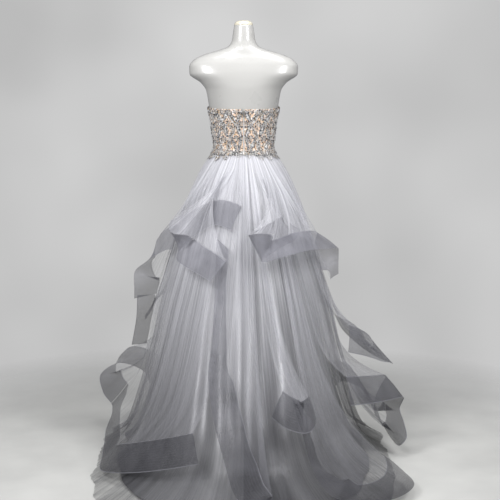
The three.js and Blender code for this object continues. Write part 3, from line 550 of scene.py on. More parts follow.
# %% The free edges
# Each row of a free edge: turn, reach from the axis, height, flare and lean of the braid there.
# hug says how late a net leaves the skirt on its way down, and swing how late it turns to its braid.
FLOUNCES = {
    "upper_left": {"side": -1, "layer": 5, "hug": 1.3, "roots": (8.5, 40), "hem": [
        (10.5, 247, 792, 26, 0), (22.5, 247, 808, 26, 0), (34, 249, 790, 24, 0),
        (44.5, 268, 753, 16, 8), (47.5, 306, 714, 20, 10), (43, 340, 690, 32, 4),
        (34, 358, 672, 38, 0), (25, 366, 652, 38, 0), (17.5, 368, 628, 36, -8),
    ]},
    "side_left": {"side": -1, "layer": 3, "hug": 3, "roots": (42, 85), "swing": 2, "hem": [
        (66, 284, 708, 16, 0), (72, 285, 706, 20, 0), (78, 296, 698, 28, 0), (83.5, 325, 678, 40, 0),
        (88, 366, 648, 55, 0), (91, 404, 612, 72, 0), (91.5, 406, 548, 54, -40),
    ]},
    "side_cascade": {"side": -1, "layer": 3, "hug": 4, "roots": (87, 94), "hem": [
        (85, 392, 532, 42, -75), (84, 394, 460, 38, -75), (84, 402, 405, 38, -72),
        (84, 412, 352, 38, -70),
    ]},
    "front_left": {"side": -1, "layer": 3, "hug": 3, "roots": (97, 178), "hem": [
        (107, 392, 415, 30, 0), (113, 408, 430, 34, 0), (119, 405, 455, 36, 0), (126, 415, 480, 42, 0),
        (135, 394, 496, 36, 0), (144, 350, 478, 26, 0), (152, 350, 435, 24, 0), (160, 372, 420, 28, 0),
        (168, 358, 430, 28, 0), (175, 325, 450, 12, 0),
    ]},
    "upper_right": {"side": 1, "layer": 5, "hug": 1.7, "roots": (16, 60), "swing": 2, "hem": [
        (49, 266, 786, 7, -16), (46, 267, 766, 8, -24), (41, 268, 750, 10, -28),
        (31, 273, 735, 14, -22), (19.5, 296, 716, 24, -16), (10, 342, 697, 42, -8),
        (13, 380, 699, 54, 0), (22, 396, 717, 58, 0), (33, 402, 732, 56, 0), (45, 394, 730, 54, 0),
        (58, 376, 724, 54, 0), (70, 360, 716, 56, 0), (80, 352, 700, 48, 26), (86, 350, 660, 24, 55),
        (87, 350, 608, 18, 68),
    ]},
    "side_right": {"side": 1, "layer": 3, "hug": 10, "roots": (62, 178), "split": 0.5, "hem": [
        (54, 446, 372, 18, 0), (64, 480, 346, 26, 0), (74, 516, 313, 36, 0), (84, 542, 290, 46, 0),
        (94, 550, 268, 54, 0), (104, 492, 290, 42, 0), (114, 422, 362, 28, 0), (124, 415, 430, 36, 0),
        (133, 400, 455, 36, 0), (142, 352, 470, 26, 0), (151, 348, 482, 26, 0), (160, 364, 490, 34, 0),
        (168, 348, 475, 28, 0), (175, 320, 455, 12, 0),
    ]},
    "centre_back": {"side": 1, "layer": 3, "hug": 4, "roots": (-8, 6.5), "hem": [
        (-21, 260, 762, 76, -75), (-18.8, 298, 680, 76, -75), (-16.5, 350, 560, 75, -75),
        (-14.6, 412, 440, 70, -75), (-14.5, 462, 350, 55, -70), (-11.5, 532, 262, 48, -60),
        (-8.4, 592, 190, 45, -50), (-4.8, 668, 108, 50, -40), (-2, 770, 56, 62, -20),
        (2, 845, 28, 72, 0), (6, 852, 26, 74, 0),
    ]},
    "centre_flute": {"side": 1, "layer": 3, "hug": 7, "roots": (7.5, 15.5), "hem": [
        (9.5, 548, 222, 18, 0), (13, 602, 200, 30, 0), (17.5, 632, 190, 35, 0),
        (21.5, 608, 196, 30, 0), (24, 572, 212, 20, 0),
    ]},
    "lower_left": {"side": -1, "layer": 2, "hug": 20, "roots": (9, 178), "split": 0.5, "hem": [
        (12.5, 650, 104, 14, 0), (21, 660, 82, 16, 0), (30, 662, 58, 20, 0), (39, 655, 36, 28, 0),
        (47.5, 640, 22, 40, 0), (54, 590, 40, 42, 0), (62, 545, 62, 35, 0), (71, 515, 80, 34, 0),
        (80, 486, 105, 34, 0), (88, 484, 112, 36, 0), (94, 496, 118, 44, 0), (101, 545, 145, 60, 0),
        (107.5, 578, 195, 68, 0), (114, 528, 228, 60, 0), (121, 456, 190, 36, 0),
        (129, 468, 118, 30, 0), (138, 462, 112, 28, 0), (147, 425, 160, 26, 0), (157, 440, 160, 34, 0),
        (167, 435, 122, 32, 0), (175, 400, 95, 14, 0),
    ]},
    "lower_right": {"side": 1, "layer": 2, "hug": 8, "roots": (29, 37), "hem": [
        (18.5, 500, 262, 68, -75), (18, 602, 176, 64, -68), (17.8, 692, 96, 60, -55),
        (19, 790, 50, 62, -25), (25, 850, 30, 72, 0), (33.5, 850, 28, 74, 0), (42, 800, 30, 72, 0),
        (47.5, 695, 34, 66, 0),
    ]},
    "middle_right": {"side": 1, "layer": 2, "hug": 14, "roots": (38, 178), "split": 0.5, "hem": [
        (41.6, 535, 224, 22, 0), (51, 548, 216, 28, 0), (62, 566, 206, 35, 0), (74, 590, 190, 44, 0),
        (79.5, 572, 134, 44, 0), (74, 592, 100, 44, 0), (68, 612, 66, 46, 0), (68, 584, 36, 42, 0),
        (77, 540, 36, 35, 0), (88, 510, 60, 30, 0), (100, 500, 105, 34, 0), (110, 468, 150, 34, 0),
        (118, 438, 160, 28, 0), (127, 450, 125, 28, 0), (136, 472, 105, 34, 0), (145, 445, 125, 28, 0),
        (153, 420, 155, 26, 0), (161, 434, 146, 30, 0), (168, 426, 120, 28, 0), (175, 400, 95, 14, 0),
    ]},
}
print("flounces:", len(FLOUNCES))


# %% From a free edge to its braid and its cloth
HEM_CLEARANCE = 4
YOKE_SHARE = 0.1
FINE_FOLDS, WIDE_FOLDS = 52, 11


def along(rows, i, u):
    """A smooth curve through one column of a free edge, at u from 0 to 1."""
    y = np.array([row[i] for row in rows], float)
    last = len(y) - 1
    x = np.clip(u, 0, 1) * last
    k = np.minimum(x.astype(int), last - 1)
    t = x - k
    a, b, c, d = (y[np.clip(k + n, 0, last)] for n in (-1, 0, 1, 2))
    return b + 0.5 * t * (c - a + t * (2 * a - 5 * b + 4 * c - d + t * (3 * (b - c) + d - a)))


def hem_at(shape, u):
    """Points of the free edge, which is the braid's lower edge."""
    turn, reach, z = (along(shape["hem"], i, u) for i in range(3))
    turn = shape["side"] * turn
    return spot(turn, np.maximum(reach, skin(shape["layer"], turn, z) + HEM_CLEARANCE), z)


def braid_top(shape, u):
    """Points of the braid's seam: square to the free edge, as far up as the braid is wide."""
    hem, side = hem_at(shape, u), shape["side"]
    near = 0.004
    tangent = hem_at(shape, np.minimum(u + near, 1)) - hem_at(shape, np.maximum(u - near, 0))
    tangent /= np.linalg.norm(tangent, axis=-1, keepdims=True)
    flare, lean = np.radians(along(shape["hem"], 3, u)), np.radians(along(shape["hem"], 4, u))
    a = np.radians(side * along(shape["hem"], 0, u))
    sideways = side * np.sin(lean) * np.cos(flare)
    fall = np.stack([np.sin(a) * np.sin(flare) + np.cos(a) * sideways,
                     -np.cos(a) * np.sin(flare) + np.sin(a) * sideways,
                     -np.cos(flare) * np.cos(lean)], -1)
    across = fall - (fall * tangent).sum(-1, keepdims=True) * tangent
    size = np.maximum(np.linalg.norm(across, axis=-1, keepdims=True), 0.5)
    top = hem - across * BRAID_WIDTH / size
    reach = np.maximum(np.hypot(top[:, 0], top[:, 1]), skin(shape["layer"], turn_of(top), top[:, 2]))
    return spot(turn_of(top), reach, top[:, 2])


def cloth_rows(shape, u, v):
    """Points of a flounce's net: rows v from the waist, 0, to the braid, 1."""
    top = braid_top(shape, u)
    u, v = u[None], v[:, None]
    low, high = shape["roots"]
    root = shape["side"] * (low + (high - low) * u)
    goal = turn_of(top)[None]
    goal = goal + 360 * np.round((root - goal) / 360)
    turn = root + (goal - root) * v ** shape.get("swing", 1.4)
    s = np.maximum((v - YOKE_SHARE) / (1 - YOKE_SHARE), 0)
    yoke = WAIST_SEAM + (YOKE - WAIST_SEAM) * v / YOKE_SHARE
    z = np.where(s > 0, YOKE + (top[None, :, 2] - YOKE) * s, yoke)
    lift = np.hypot(top[:, 0], top[:, 1])[None] - skin(shape["layer"], goal, top[None, :, 2])
    width = lengths(top[:, None] * MM, 0)[-1, 0]
    metre = 2 * np.pi * u * width
    close = 1 + np.cos(FINE_FOLDS * metre + 2.5 * np.sin(9 * metre + high) + 1.5 * np.sin(17 * metre))
    wide = 1 + np.sin(WIDE_FOLDS * metre + 1.8 * np.sin(4 * metre + high) + low)
    loose = np.minimum(1, 2.5 * s) * (1 + np.minimum(lift / 30, 1.5))
    ripple = np.minimum(1, 4 * s + 0.15) * (1 - s**6) * (0.7 * close + 1.5 * wide * loose)
    reach = skin(shape["layer"], turn, z) + lift * s ** shape["hug"] + ripple
    return spot(turn, reach - slit(turn, z), z)


# %% Net panels and braid strips
COLUMNS_A_ROW = 22
SEAM_SHARE = 0.001
BRAID_CURL = 3.0
# The side flounce's braid laps over the start of the cascade's, in millimetres.
LAPS = {"side_left": 36}


def carried_on(strip, length):
    """A strip with one more column, straight on past its last by a length in millimetres."""
    step = strip[:, -1:] - strip[:, -2:-1]
    step = step * length / np.linalg.norm(step, axis=-1, keepdims=True)
    return np.concatenate([strip, strip[:, -1:] + step], 1)


def dress_flounce(name, shape):
    """Makes the net and the braid of one flounce, in one panel, or in two if it has a side seam."""
    flip = shape["side"] < 0
    cuts = [0, shape["split"], 1] if "split" in shape else [0, 1]
    for k in range(len(cuts) - 1):
        label = f"{name}_{('back', 'front')[k]}" if "split" in shape else name
        columns = int((cuts[k + 1] - cuts[k]) * len(shape["hem"]) * COLUMNS_A_ROW)
        low, high = cuts[k] + SEAM_SHARE * (k > 0), cuts[k + 1] - SEAM_SHARE * (k + 2 < len(cuts))
        u = np.linspace(low, high, columns)
        rows = cloth_rows(shape, u, np.linspace(0, 1, 40))
        net = sheet_mesh("net_" + label, rows, FLOUNCE_NET, flip=flip)
        hang(net, rows, ["flounce_" + label], "tulle")
        top, hem = braid_top(shape, u), hem_at(shape, u)
        share = np.linspace(0, 1, 9)[:, None, None]
        normal = np.cross(np.gradient(hem, axis=0), top - hem)
        normal /= np.linalg.norm(normal, axis=-1, keepdims=True)
        curl = BRAID_CURL * np.sin(share * np.pi) * normal[None]
        strip = top[None] * (1 - share) + hem[None] * share + curl
        if name in LAPS:
            strip = carried_on(strip, LAPS[name])
        braid = sheet_mesh("stiff_braid_" + label, strip, BRAID, flip=flip)
        hang(braid, strip, ["braid_" + label], "braid")


for name, shape in FLOUNCES.items():
    dress_flounce(name, shape)

# %% [markdown]
# ## Lace bodice
#
# The bodice is nude net, shaped by seams, with corded and beaded lace laid over it. The lace could
# be painted, but its cords and beads stand up and catch the light, so they are real shapes here:
# scrolls and leaves drawn once for a quarter of the bodice and mirrored, as lace is made.

# %% Edges and raised leaves of the bodice
TOP_EDGE = [(0, 1212), (40, 1214), (82, 1221), (122, 1233), (150, 1240), (180, 1221)]
LOWER_EDGE = [
    (0, 1045), (6, 1042), (11, 1035), (17, 1043), (26, 1042), (35, 1027), (44, 1041), (53, 1026),
    (62, 1041), (74, 1032), (85, 1042), (97, 1029), (109, 1042), (121, 1030), (133, 1042),
    (146, 1030), (158, 1042), (170, 1034), (180, 1043),
]
# turn and height of a leaf's middle, its length, width and lean, for a quarter of the bodice
LEAVES = [
    (9, 1188, 46, 16, -25), (23, 1178, 52, 18, 32), (37, 1194, 44, 16, -22), (51, 1176, 54, 18, 26),
    (66, 1190, 48, 16, -25), (81, 1168, 50, 18, 20), (10, 1134, 54, 16, 20), (26, 1126, 46, 15, -32),
    (41, 1140, 54, 18, 15), (57, 1122, 46, 15, -26), (73, 1130, 50, 16, 25), (9, 1086, 40, 13, -15),
    (21, 1084, 46, 14, 25), (35, 1074, 52, 16, -12), (53, 1070, 52, 16, 10), (74, 1078, 46, 15, -15),
]
# turn and height of a scroll's middle, its size, the way it starts, and its hand
SCROLLS = [
    (5, 1205, 6, 40, 1), (16, 1205, 8, 200, -1), (30, 1199, 8, 20, 1), (44, 1204, 8, 160, -1),
    (59, 1203, 8, 20, 1), (73, 1208, 8, 180, -1), (86, 1200, 9, 40, 1), (5, 1160, 8, 300, -1),
    (16, 1158, 11, 90, 1), (32, 1157, 11, 250, -1), (47, 1155, 11, 80, 1), (62, 1156, 11, 260, -1),
    (76, 1150, 11, 100, 1), (88, 1136, 9, 270, -1), (17, 1108, 9, 270, -1), (32, 1104, 11, 60, 1),
    (47, 1104, 10, 240, -1), (64, 1100, 11, 80, 1), (83, 1104, 11, 250, -1), (6, 1108, 7, 120, 1),
    (14, 1066, 8, 120, 1), (28, 1056, 7, 300, -1), (44, 1056, 8, 100, 1), (64, 1060, 9, 280, -1),
    (84, 1062, 9, 100, 1),
]
TOP_Z, LOWER_Z = curve(TOP_EDGE, 1), curve(LOWER_EDGE, 1)
BODICE_RADIUS = 106
BODICE_FOOT = 1050.0
LAP_RISE, BUST_RISE, LEAF_RISE = 2.8, 15, 1.5


def folded(turn):
    """A turn as it falls on the quarter of the lace that was drawn, 0 to 90."""
    return np.minimum(from_back(turn), 180 - from_back(turn))


def bust(turn, z, aside=30, half_width=19, height=1200, half_height=34):
    off = np.abs(180 - from_back(turn)) - aside
    return np.exp(-((off / half_width) ** 2) - ((z - height) / half_height) ** 2) * (z > 1100)


def bodice_reach(turn, z):
    """Distance from the axis to the bodice, whose lower edge laps over the skirt."""
    lap = skin(5, turn, z) + LAP_RISE
    foot = outline(BODICE_SHAPE, turn, BODICE_FOOT + 0 * z)
    below = lap + (foot - lap) * np.clip((z - WAIST_SEAM) / (BODICE_FOOT - WAIST_SEAM), 0, 1)
    return np.where(z >= BODICE_FOOT, outline(BODICE_SHAPE, turn, z) + BUST_RISE * bust(turn, z), below)


def leaf_height(turn, z):
    """How far the lace stands up, from 0 on the bare net to 1 on the back of a leaf."""
    most = np.zeros(np.broadcast(turn, z).shape)
    for t, middle, length, width, lean in LEAVES:
        across, up, lean = np.radians(folded(turn) - t) * BODICE_RADIUS, z - middle, np.radians(lean)
        long = (up * np.cos(lean) + across * np.sin(lean)) / (length / 2)
        wide = (across * np.cos(lean) - up * np.sin(lean)) / (width / 2)
        most = np.maximum(most, 1 - long**2 - wide**2)
    return np.minimum(1, 1.6 * most)


def on_bodice(turn, z, lift=0.0):
    """Points on the lace, lift millimetres above it."""
    return spot(turn, bodice_reach(turn, z) + LEAF_RISE * leaf_height(turn, z) + lift, z)


print("lace:", len(LEAVES), "leaves and", len(SCROLLS), "scrolls in a quarter")


# %% Nude net with the lace's flat threads and small stones worked into it
def lace_material():
    """The nude net ends just above the lower edge, where only the lace itself goes on."""
    made, tree, shader = principled("nude net and silver lace", Sheen_Weight=0.15, Sheen_Roughness=0.5,
                                    Specular_IOR_Level=0.4)
    uv = cloth_map(tree)
    raised, fall, side = (point_value(tree, label) for label in ("raised", "fall", "side"))
    wander = node(tree, "ShaderNodeTexNoise", {"Vector": uv, "Scale": 70.0, "Detail": 2.0}).outputs[1]
    bent = node(tree, "ShaderNodeMix", {0: 0.012, 4: uv, 5: wander}, data_type="VECTOR").outputs[1]
    twigs = flat_cells(tree, bent, 105.0, 0.9, feature="DISTANCE_TO_EDGE")["Distance"]
    stones = flat_cells(tree, uv, 150.0, 0.9)
    kinds = node(tree, "ShaderNodeSeparateColor", {0: stones["Color"]}).outputs
    flat = math_node(tree, "LESS_THAN", twigs, spread(tree, side, 0.0, 1.0, 0.09, 0.26))
    leaf = spread(tree, raised, 0.03, 0.2)
    laid = math_node(tree, "MAXIMUM", flat, leaf)
    share = math_node(tree, "MAXIMUM", leaf, spread(tree, side, 0.0, 1.0, 0.4, 0.9))
    chosen = math_node(tree, "LESS_THAN", kinds[1], share)
    stone = product(tree, spread(tree, stones["Distance"], 0.36, 0.44, 1.0, 0.0), chosen)
    thread = use(tree, "net cells", Cells=900.0)["Thread"]
    nude = blend_colour(tree, thread, (0.95, 0.66, 0.44), (0.82, 0.58, 0.40))
    patch = noise(tree, uv, 200.0, 4.0)
    grey = blend_colour(tree, spread(tree, patch, 0.42, 0.58), (0.03, 0.03, 0.035), (0.84, 0.82, 0.80))
    bronze = math_node(tree, "LESS_THAN", kinds[0], 0.17)
    light = blend_colour(tree, bronze, (0.93, 0.93, 0.95), (0.40, 0.27, 0.12))
    dark = math_node(tree, "GREATER_THAN", kinds[0], 0.45)
    gems = blend_colour(tree, dark, light, (0.02, 0.02, 0.03))
    backing = spread(tree, fall, 0.86, 0.9, 1.0, 0.0)
    cover = math_node(tree, "MAXIMUM", math_node(tree, "MAXIMUM", laid, stone), backing)
    height = math_node(tree, "MULTIPLY_ADD", stone, 0.8, product(tree, patch, 0.4))
    wire(shader, Base_Color=blend_colour(tree, stone, blend_colour(tree, laid, nude, grey), gems),
         Roughness=spread(tree, stone, 0, 1, 0.62, 0.2), Alpha=cover,
         Normal=bump(tree, 0.5, 0.0006, height))
    return made


LACE = lace_material()
PANELS = [("back_right", 1.9, 40), ("side_back_right", 40, 82), ("side_front_right", 82, 128),
          ("front", 128, 232), ("side_front_left", 232, 278), ("side_back_left", 278, 320),
          ("back_left", 320, 358.1)]
SEAM_TURN = 0.11
lace_panels = {}
for name, low, high in PANELS:
    turns = np.linspace(low + SEAM_TURN, high - SEAM_TURN, int((high - low) * 1.3))[None]
    share = np.linspace(0, 1, 84)[:, None]
    top, bottom = TOP_Z(from_back(turns)), LOWER_Z(from_back(turns))
    z = top + (bottom - top) * share
    turns = turns + 0 * z
    points = on_bodice(turns, z)
    panel = sheet_mesh("lace_" + name, points, LACE)
    give(panel.data, "raised", leaf_height(turns, z))
    give(panel.data, "side", np.clip(folded(turns) / 78, 0, 1) ** 2)
    lace_panels[name] = (panel, points)
print("panels:", ", ".join(lace_panels))


# %% [markdown]
# Cords, beads, zip teeth and stitches repeat, so each is one small shape that a geometry node tree
# sets along points or lines. Placing them by hand would take hours, and particles can't be counted
# or turned exactly. Each tree ends in real meshes, which are kept and fastened to the gown's body.

# %% Geometry trees: cords along lines, and small shapes on points
def geometry_tree(name, sizes):
    tree = bpy.data.node_groups.new(name, "GeometryNodeTree")
    tree.interface.new_socket("Geometry", in_out="INPUT", socket_type="NodeSocketGeometry")
    tree.interface.new_socket("Geometry", in_out="OUTPUT", socket_type="NodeSocketGeometry")
    tree.interface.new_socket("Finish", in_out="INPUT", socket_type="NodeSocketMaterial")
    for label, value in sizes.items():
        socket = tree.interface.new_socket(label, in_out="INPUT", socket_type="NodeSocketFloat")
        socket.default_value = value
    return tree, tree.nodes.new("NodeGroupInput").outputs, tree.nodes.new("NodeGroupOutput").inputs


def finish_tree(tree, given, put, geometry):
    smooth = node(tree, "GeometryNodeSetShadeSmooth", {"Geometry": geometry}).outputs[0]
    real = node(tree, "GeometryNodeRealizeInstances", {0: smooth}).outputs[0]
    done = node(tree, "GeometryNodeSetMaterial", {"Geometry": real, "Material": given["Finish"]})
    tree.links.new(done.outputs[0], put["Geometry"])


def cord_tree():
    tree, given, put = geometry_tree("cords", {"Radius": 0.0005})
    line = node(tree, "GeometryNodeMeshToCurve", {0: given["Geometry"]}).outputs[0]
    ring = node(tree, "GeometryNodeCurvePrimitiveCircle", {"Resolution": 5, "Radius": given["Radius"]})
    tube = node(tree, "GeometryNodeCurveToMesh", {"Curve": line, "Profile Curve": ring.outputs[0],
                                                 "Fill Caps": True})
    finish_tree(tree, given, put, tube.outputs[0])
    return tree


def set_tree(name, sizes, shape):
    """A tree that sets a small shape on each point, its Z along "out" and its X along "along"."""
    tree, given, put = geometry_tree(name, sizes)
    turned = None
    for label, axis, pivot in (("out", "Z", "AUTO"), ("along", "X", "Z")):
        way = node(tree, "GeometryNodeInputNamedAttribute", {"Name": label}, data_type="FLOAT_VECTOR")
        inputs = {"Vector": way.outputs[0]} | ({"Rotation": turned} if turned else {})
        turned = node(tree, "FunctionNodeAlignRotationToVector", inputs, axis=axis,
                      pivot_axis=pivot).outputs[0]
    size = node(tree, "GeometryNodeInputNamedAttribute", {"Name": "size"}, data_type="FLOAT").outputs[0]
    placed = node(tree, "GeometryNodeInstanceOnPoints",
                  {"Points": given["Geometry"], "Instance": shape(tree, given),
                   "Rotation": turned, "Scale": size})
    finish_tree(tree, given, put, placed.outputs[0])
    return tree


def bead_shape(tree, given):
    ball = node(tree, "GeometryNodeMeshUVSphere", {"Segments": 7, "Rings": 4, "Radius": 1.0}).outputs[0]
    squash = node(tree, "ShaderNodeCombineXYZ", {0: 1.0, 1: 1.0, 2: given["Height"]}).outputs[0]
    return node(tree, "GeometryNodeTransform", {"Geometry": ball, "Scale": squash}).outputs[0]


def bar_shape(tree, given):
    size = node(tree, "ShaderNodeCombineXYZ",
                {0: given["Length"], 1: given["Width"], 2: given["Height"]}).outputs[0]
    return node(tree, "GeometryNodeMeshCube", {"Size": size}).outputs[0]


CORDS = cord_tree()
BEADS = set_tree("beads", {"Height": 0.8}, bead_shape)
BARS = set_tree("bars", {"Length": 0.002, "Width": 0.0004, "Height": 0.0004}, bar_shape)


# %% Running a tree
def grow(name, tree, finish, slot, points, edges=(), attributes=None, **sizes):
    """Runs a tree over points or lines and keeps the result as a plain mesh."""
    mesh = bpy.data.meshes.new(name + "_guide")
    mesh.from_pydata((points * MM).tolist(), list(edges), [])
    for label, values in (attributes or {}).items():
        kind = ("FLOAT_VECTOR", "vector") if values.ndim == 2 else ("FLOAT", "value")
        give(mesh, label, values, *kind)
    guide = add_object(name + "_guide", mesh)
    modifier = guide.modifiers.new("grow", "NODES")
    modifier.node_group = tree
    for item in tree.interface.items_tree:
        if item.in_out == "INPUT" and item.name in {"Finish", *sizes}:
            modifier[item.identifier] = finish if item.name == "Finish" else sizes[item.name]
    result = bpy.data.meshes.new_from_object(guide.evaluated_get(bpy.context.evaluated_depsgraph_get()))
    guide.modifiers.remove(modifier)
    bpy.data.objects.remove(guide)
    result.name = name
    print(f"{name}: {len(result.polygons)} faces")
    return fasten(add_object(name, result), slot)


# %% Scrolls and leaves in the flat, mirrored round the bodice
SCROLL_TURNS, SCROLL_CLOSING = 1.35, 0.78
ZIP_CLEARANCE, EDGE_CLEARANCE = 2.6, 1.2


def leaf_line(leaf, u, wide=1.0):
    """A leaf's outline, pointed at its ends, at u from 0 to 1 round it."""
    t, z, length, width, lean = leaf
    a, lean = 2 * np.pi * u, np.radians(lean)
    long = length / 2 * np.cos(a)
    side = width / 2 * wide * np.sin(a) * (0.75 + 0.25 * np.sin(a) ** 2)
    up, across = long * np.cos(lean) - side * np.sin(lean), long * np.sin(lean) + side * np.cos(lean)
    return t + np.degrees(across / BODICE_RADIUS), z + up


def scroll_line(scroll, u, out=0.0):
    """A spiral that closes inwards, at u from 0 to 1 along it, or out millimetres outside it."""
    t, z, size, start, hand = scroll
    a = np.radians(start) + hand * 2 * np.pi * SCROLL_TURNS * u
    radius = size * (1 - SCROLL_CLOSING * u) + out
    return t + np.degrees(radius * np.cos(a) / BODICE_RADIUS), z + radius * np.sin(a)


def mirrored(turn, z):
    """The four places of a line: right and left of the centre back, and of the centre front."""
    return [(turn, z), (-turn, z), (180 - turn, z), (180 + turn, z)]


def inside(turn, z, margin):
    """Whether a point is on the lace, clear of the zip and a margin below the top edge."""
    t = from_back(turn)
    return (t > ZIP_CLEARANCE) & (z < TOP_Z(t) - margin) & (z > LOWER_Z(t) + EDGE_CLEARANCE)


def lines_round(makers, steps_each, lift):
    """Points and edges for cords along each line wherever it lies on the bodice."""
    points, edges = [], []
    u = np.linspace(0, 1, steps_each)
    for turn, z in (place for make in makers for place in mirrored(*make(u))):
        kept, at, base = inside(turn, z, 2.5), on_bodice(turn, z, lift), sum(map(len, points))
        points.append(at)
        edges += [(base + k, base + k + 1) for k in range(len(u) - 1) if kept[k] and kept[k + 1]]
    used = np.unique(np.array(edges))
    names = {int(k): n for n, k in enumerate(used)}
    return np.concatenate(points)[used], [(names[a], names[b]) for a, b in edges]


def thread(name, dark, light, metallic, roughness, scale):
    """A finish for cords and beads that differs a little from one to the next."""
    made, tree, shader = principled(name, Metallic=metallic, Specular_IOR_Level=0.6)
    cloud = noise(tree, object_place(tree), scale, 2.0)
    wire(shader, Base_Color=blend_colour(tree, spread(tree, cloud, 0.35, 0.65), dark, light),
         Roughness=spread(tree, cloud, 0.3, 0.7, roughness * 0.7, roughness * 1.3),
         Normal=bump(tree, 0.3, 0.0003, cloud))
    return made


SILVER_CORD = thread("silver cord", (0.16, 0.155, 0.15), (0.92, 0.90, 0.88), 0.2, 0.3, 400.0)
GUNMETAL = thread("gunmetal beads", (0.008, 0.008, 0.012), (0.04, 0.04, 0.05), 0.2, 0.2, 350.0)
CRYSTAL = thread("silver crystals", (0.75, 0.75, 0.78), (0.95, 0.95, 0.97), 0.2, 0.12, 350.0)
BRONZE = thread("bronze beads", (0.24, 0.16, 0.08), (0.5, 0.37, 0.2), 0.4, 0.25, 350.0)

leaf_makers = [lambda u, leaf=leaf: leaf_line(leaf, u) for leaf in LEAVES]
inner_makers = [lambda u, leaf=leaf: leaf_line(leaf, u, 0.45) for leaf in LEAVES]
scroll_makers = [lambda u, scroll=scroll: scroll_line(scroll, u) for scroll in SCROLLS]
for name, makers, count, radius in (("leaf_cords", leaf_makers, 46, 0.8),
                                    ("scroll_cords", scroll_makers, 30, 1.1),
                                    ("vein_cords", inner_makers, 30, 0.4)):
    points, edges = lines_round(makers, count, radius * 0.6)
    grow(name, CORDS, SILVER_CORD, "lace", points, edges, Radius=radius * MM)


# %% Beads and crystals
rng = np.random.default_rng(7)


def bead_rows():
    """Turn, height and size in millimetres of every bead, sorted into dark, silver and bronze."""
    rows = {"dark": [], "silver": [], "bronze": []}
    for k, leaf in enumerate(LEAVES):
        u = np.arccos(np.linspace(0.9, -0.9, 10)) / (2 * np.pi)
        middle, rim = (("silver", "dark"), ("bronze", "silver"), ("silver", "dark"))[k % 3]
        rows[middle].append((*leaf_line(leaf, u, 0.0), 1.5))
        rows[rim].append((*leaf_line(leaf, np.linspace(0, 1, 18), 0.7), 1.5))
    for scroll in SCROLLS:
        u = np.linspace(0, 0.6, 14)
        rows["dark"].append((*scroll_line(scroll, u[::2], 3.0), 2.4))
        rows["silver"].append((*scroll_line(scroll, u[1::2], 3.0), 1.6))
        rows["silver"].append((*scroll_line(scroll, np.array([1.0]), 0.0), 2.1))
        rows["bronze"].append((*scroll_line(scroll, u[::2], -2.8), 1.2))
    return rows


def set_beads(name, rows, finish):
    """Sets one colour of beads in all four places of each row, each a little larger or smaller."""
    places = []
    for t, z, size in rows:
        for turn, height in mirrored(t, z):
            kept = inside(turn, height, 2.0)
            sizes = np.full(kept.sum(), size) * rng.uniform(0.8, 1.2, kept.sum())
            places.append([turn[kept], height[kept], sizes])
    turn, z, size = np.concatenate(places, 1)
    attributes = {"out": spot(turn, 1.0, 0 * z), "size": size * MM,
                  "along": np.tile([0.0, 0, 1], (len(z), 1))}
    points = on_bodice(turn, z, 0.4 * size)
    return grow(name, BEADS, finish, "lace", points, attributes=attributes, Height=0.8)


rows = bead_rows()
for kind, count, size in (("silver", 22, 2.3), ("dark", 20, 2.6), ("bronze", 10, 2.2)):
    corner = rng.normal(0, 1, (count, 2))
    rows[kind].append((85 + 3.4 * corner[:, 0], 1211 + 5.5 * corner[:, 1], size))
beads = [set_beads("gunmetal_beads", rows["dark"], GUNMETAL),
         set_beads("silver_crystals", rows["silver"], CRYSTAL),
         set_beads("bronze_beads", rows["bronze"], BRONZE)]

# %% Zip: tape and teeth
ZIP_TOP, ZIP_FOOT, SLIDER_AT, TOOTH_PITCH = 1209, 1048, 1196, 1.5
turns, z = np.meshgrid(np.linspace(-1.8, 1.8, 13), np.linspace(ZIP_TOP, ZIP_FOOT, 90))
tape_points = spot(turns, bodice_reach(turns, np.maximum(z, BODICE_FOOT)) - 0.5, z)
# The tape takes the net's finish, with painted shade between its streaks; above the waist seam the
# painted shade towards the floor does not show.
TAPE = net_material("woven zip tape", (0.80, 0.76, 0.72), (0.72, 0.70, 0.68),
                    gathered=1.0, free=1.0, across=900.0)
tape = fasten(sheet_mesh("zip_tape_cloth", tape_points, TAPE, flip=True), "zip_tape", "zip_tape")
z = np.arange(ZIP_FOOT + TOOTH_PITCH, SLIDER_AT, TOOTH_PITCH)
side = np.where(np.arange(len(z)) % 2, 0.32, -0.32)
points = spot(side, bodice_reach(side, np.maximum(z, BODICE_FOOT)) - 0.1, z)
attributes = {"out": spot(0 * z, 1.0, 0 * z), "along": np.tile([1.0, 0, 0], (len(z), 1)),
              "size": np.ones(len(z))}
teeth = grow("zip_teeth", BARS, CRYSTAL, "zip_metal", points, attributes=attributes,
             Length=1.7 * MM, Width=0.9 * MM, Height=0.9 * MM)

# %% The bodice's panels, fastened in the place of their solids
for name, (panel, points) in lace_panels.items():
    hang(panel, points, ["bodice_" + name], "lace")


# %% Stitches along each braid's seam
def stitch_rows(pitch=0.007):
    """The place, outward way and long way of each stitch, a pitch in metres apart."""
    points, out, along_seam = [], [], []
    for shape in FLOUNCES.values():
        u = np.linspace(0.004, 0.996, 4000)
        seam = braid_top(shape, u)
        run = lengths(seam[:, None] * MM, 0)[:, 0]
        picked = np.searchsorted(run, np.arange(0.004, run[-1], pitch)).clip(1, len(u) - 2)
        fall = hem_at(shape, u[picked]) - seam[picked]
        step = seam[picked + 1] - seam[picked - 1]
        step /= np.linalg.norm(step, axis=1, keepdims=True)
        fall /= np.linalg.norm(fall, axis=1, keepdims=True)
        square = np.cross(step, fall) * shape["side"]
        points.append(seam[picked] + 1.5 * fall + 0.3 * square)
        out.append(square)
        along_seam.append(step)
    return [np.concatenate(part) for part in (points, out, along_seam)]


points, out, step = stitch_rows()
attributes = {"out": out, "along": step, "size": np.ones(len(points))}
grow("seam_stitches", BARS, SILVER_CORD, "braid", points, attributes=attributes,
     Length=3.5 * MM, Width=0.5 * MM, Height=0.4 * MM)

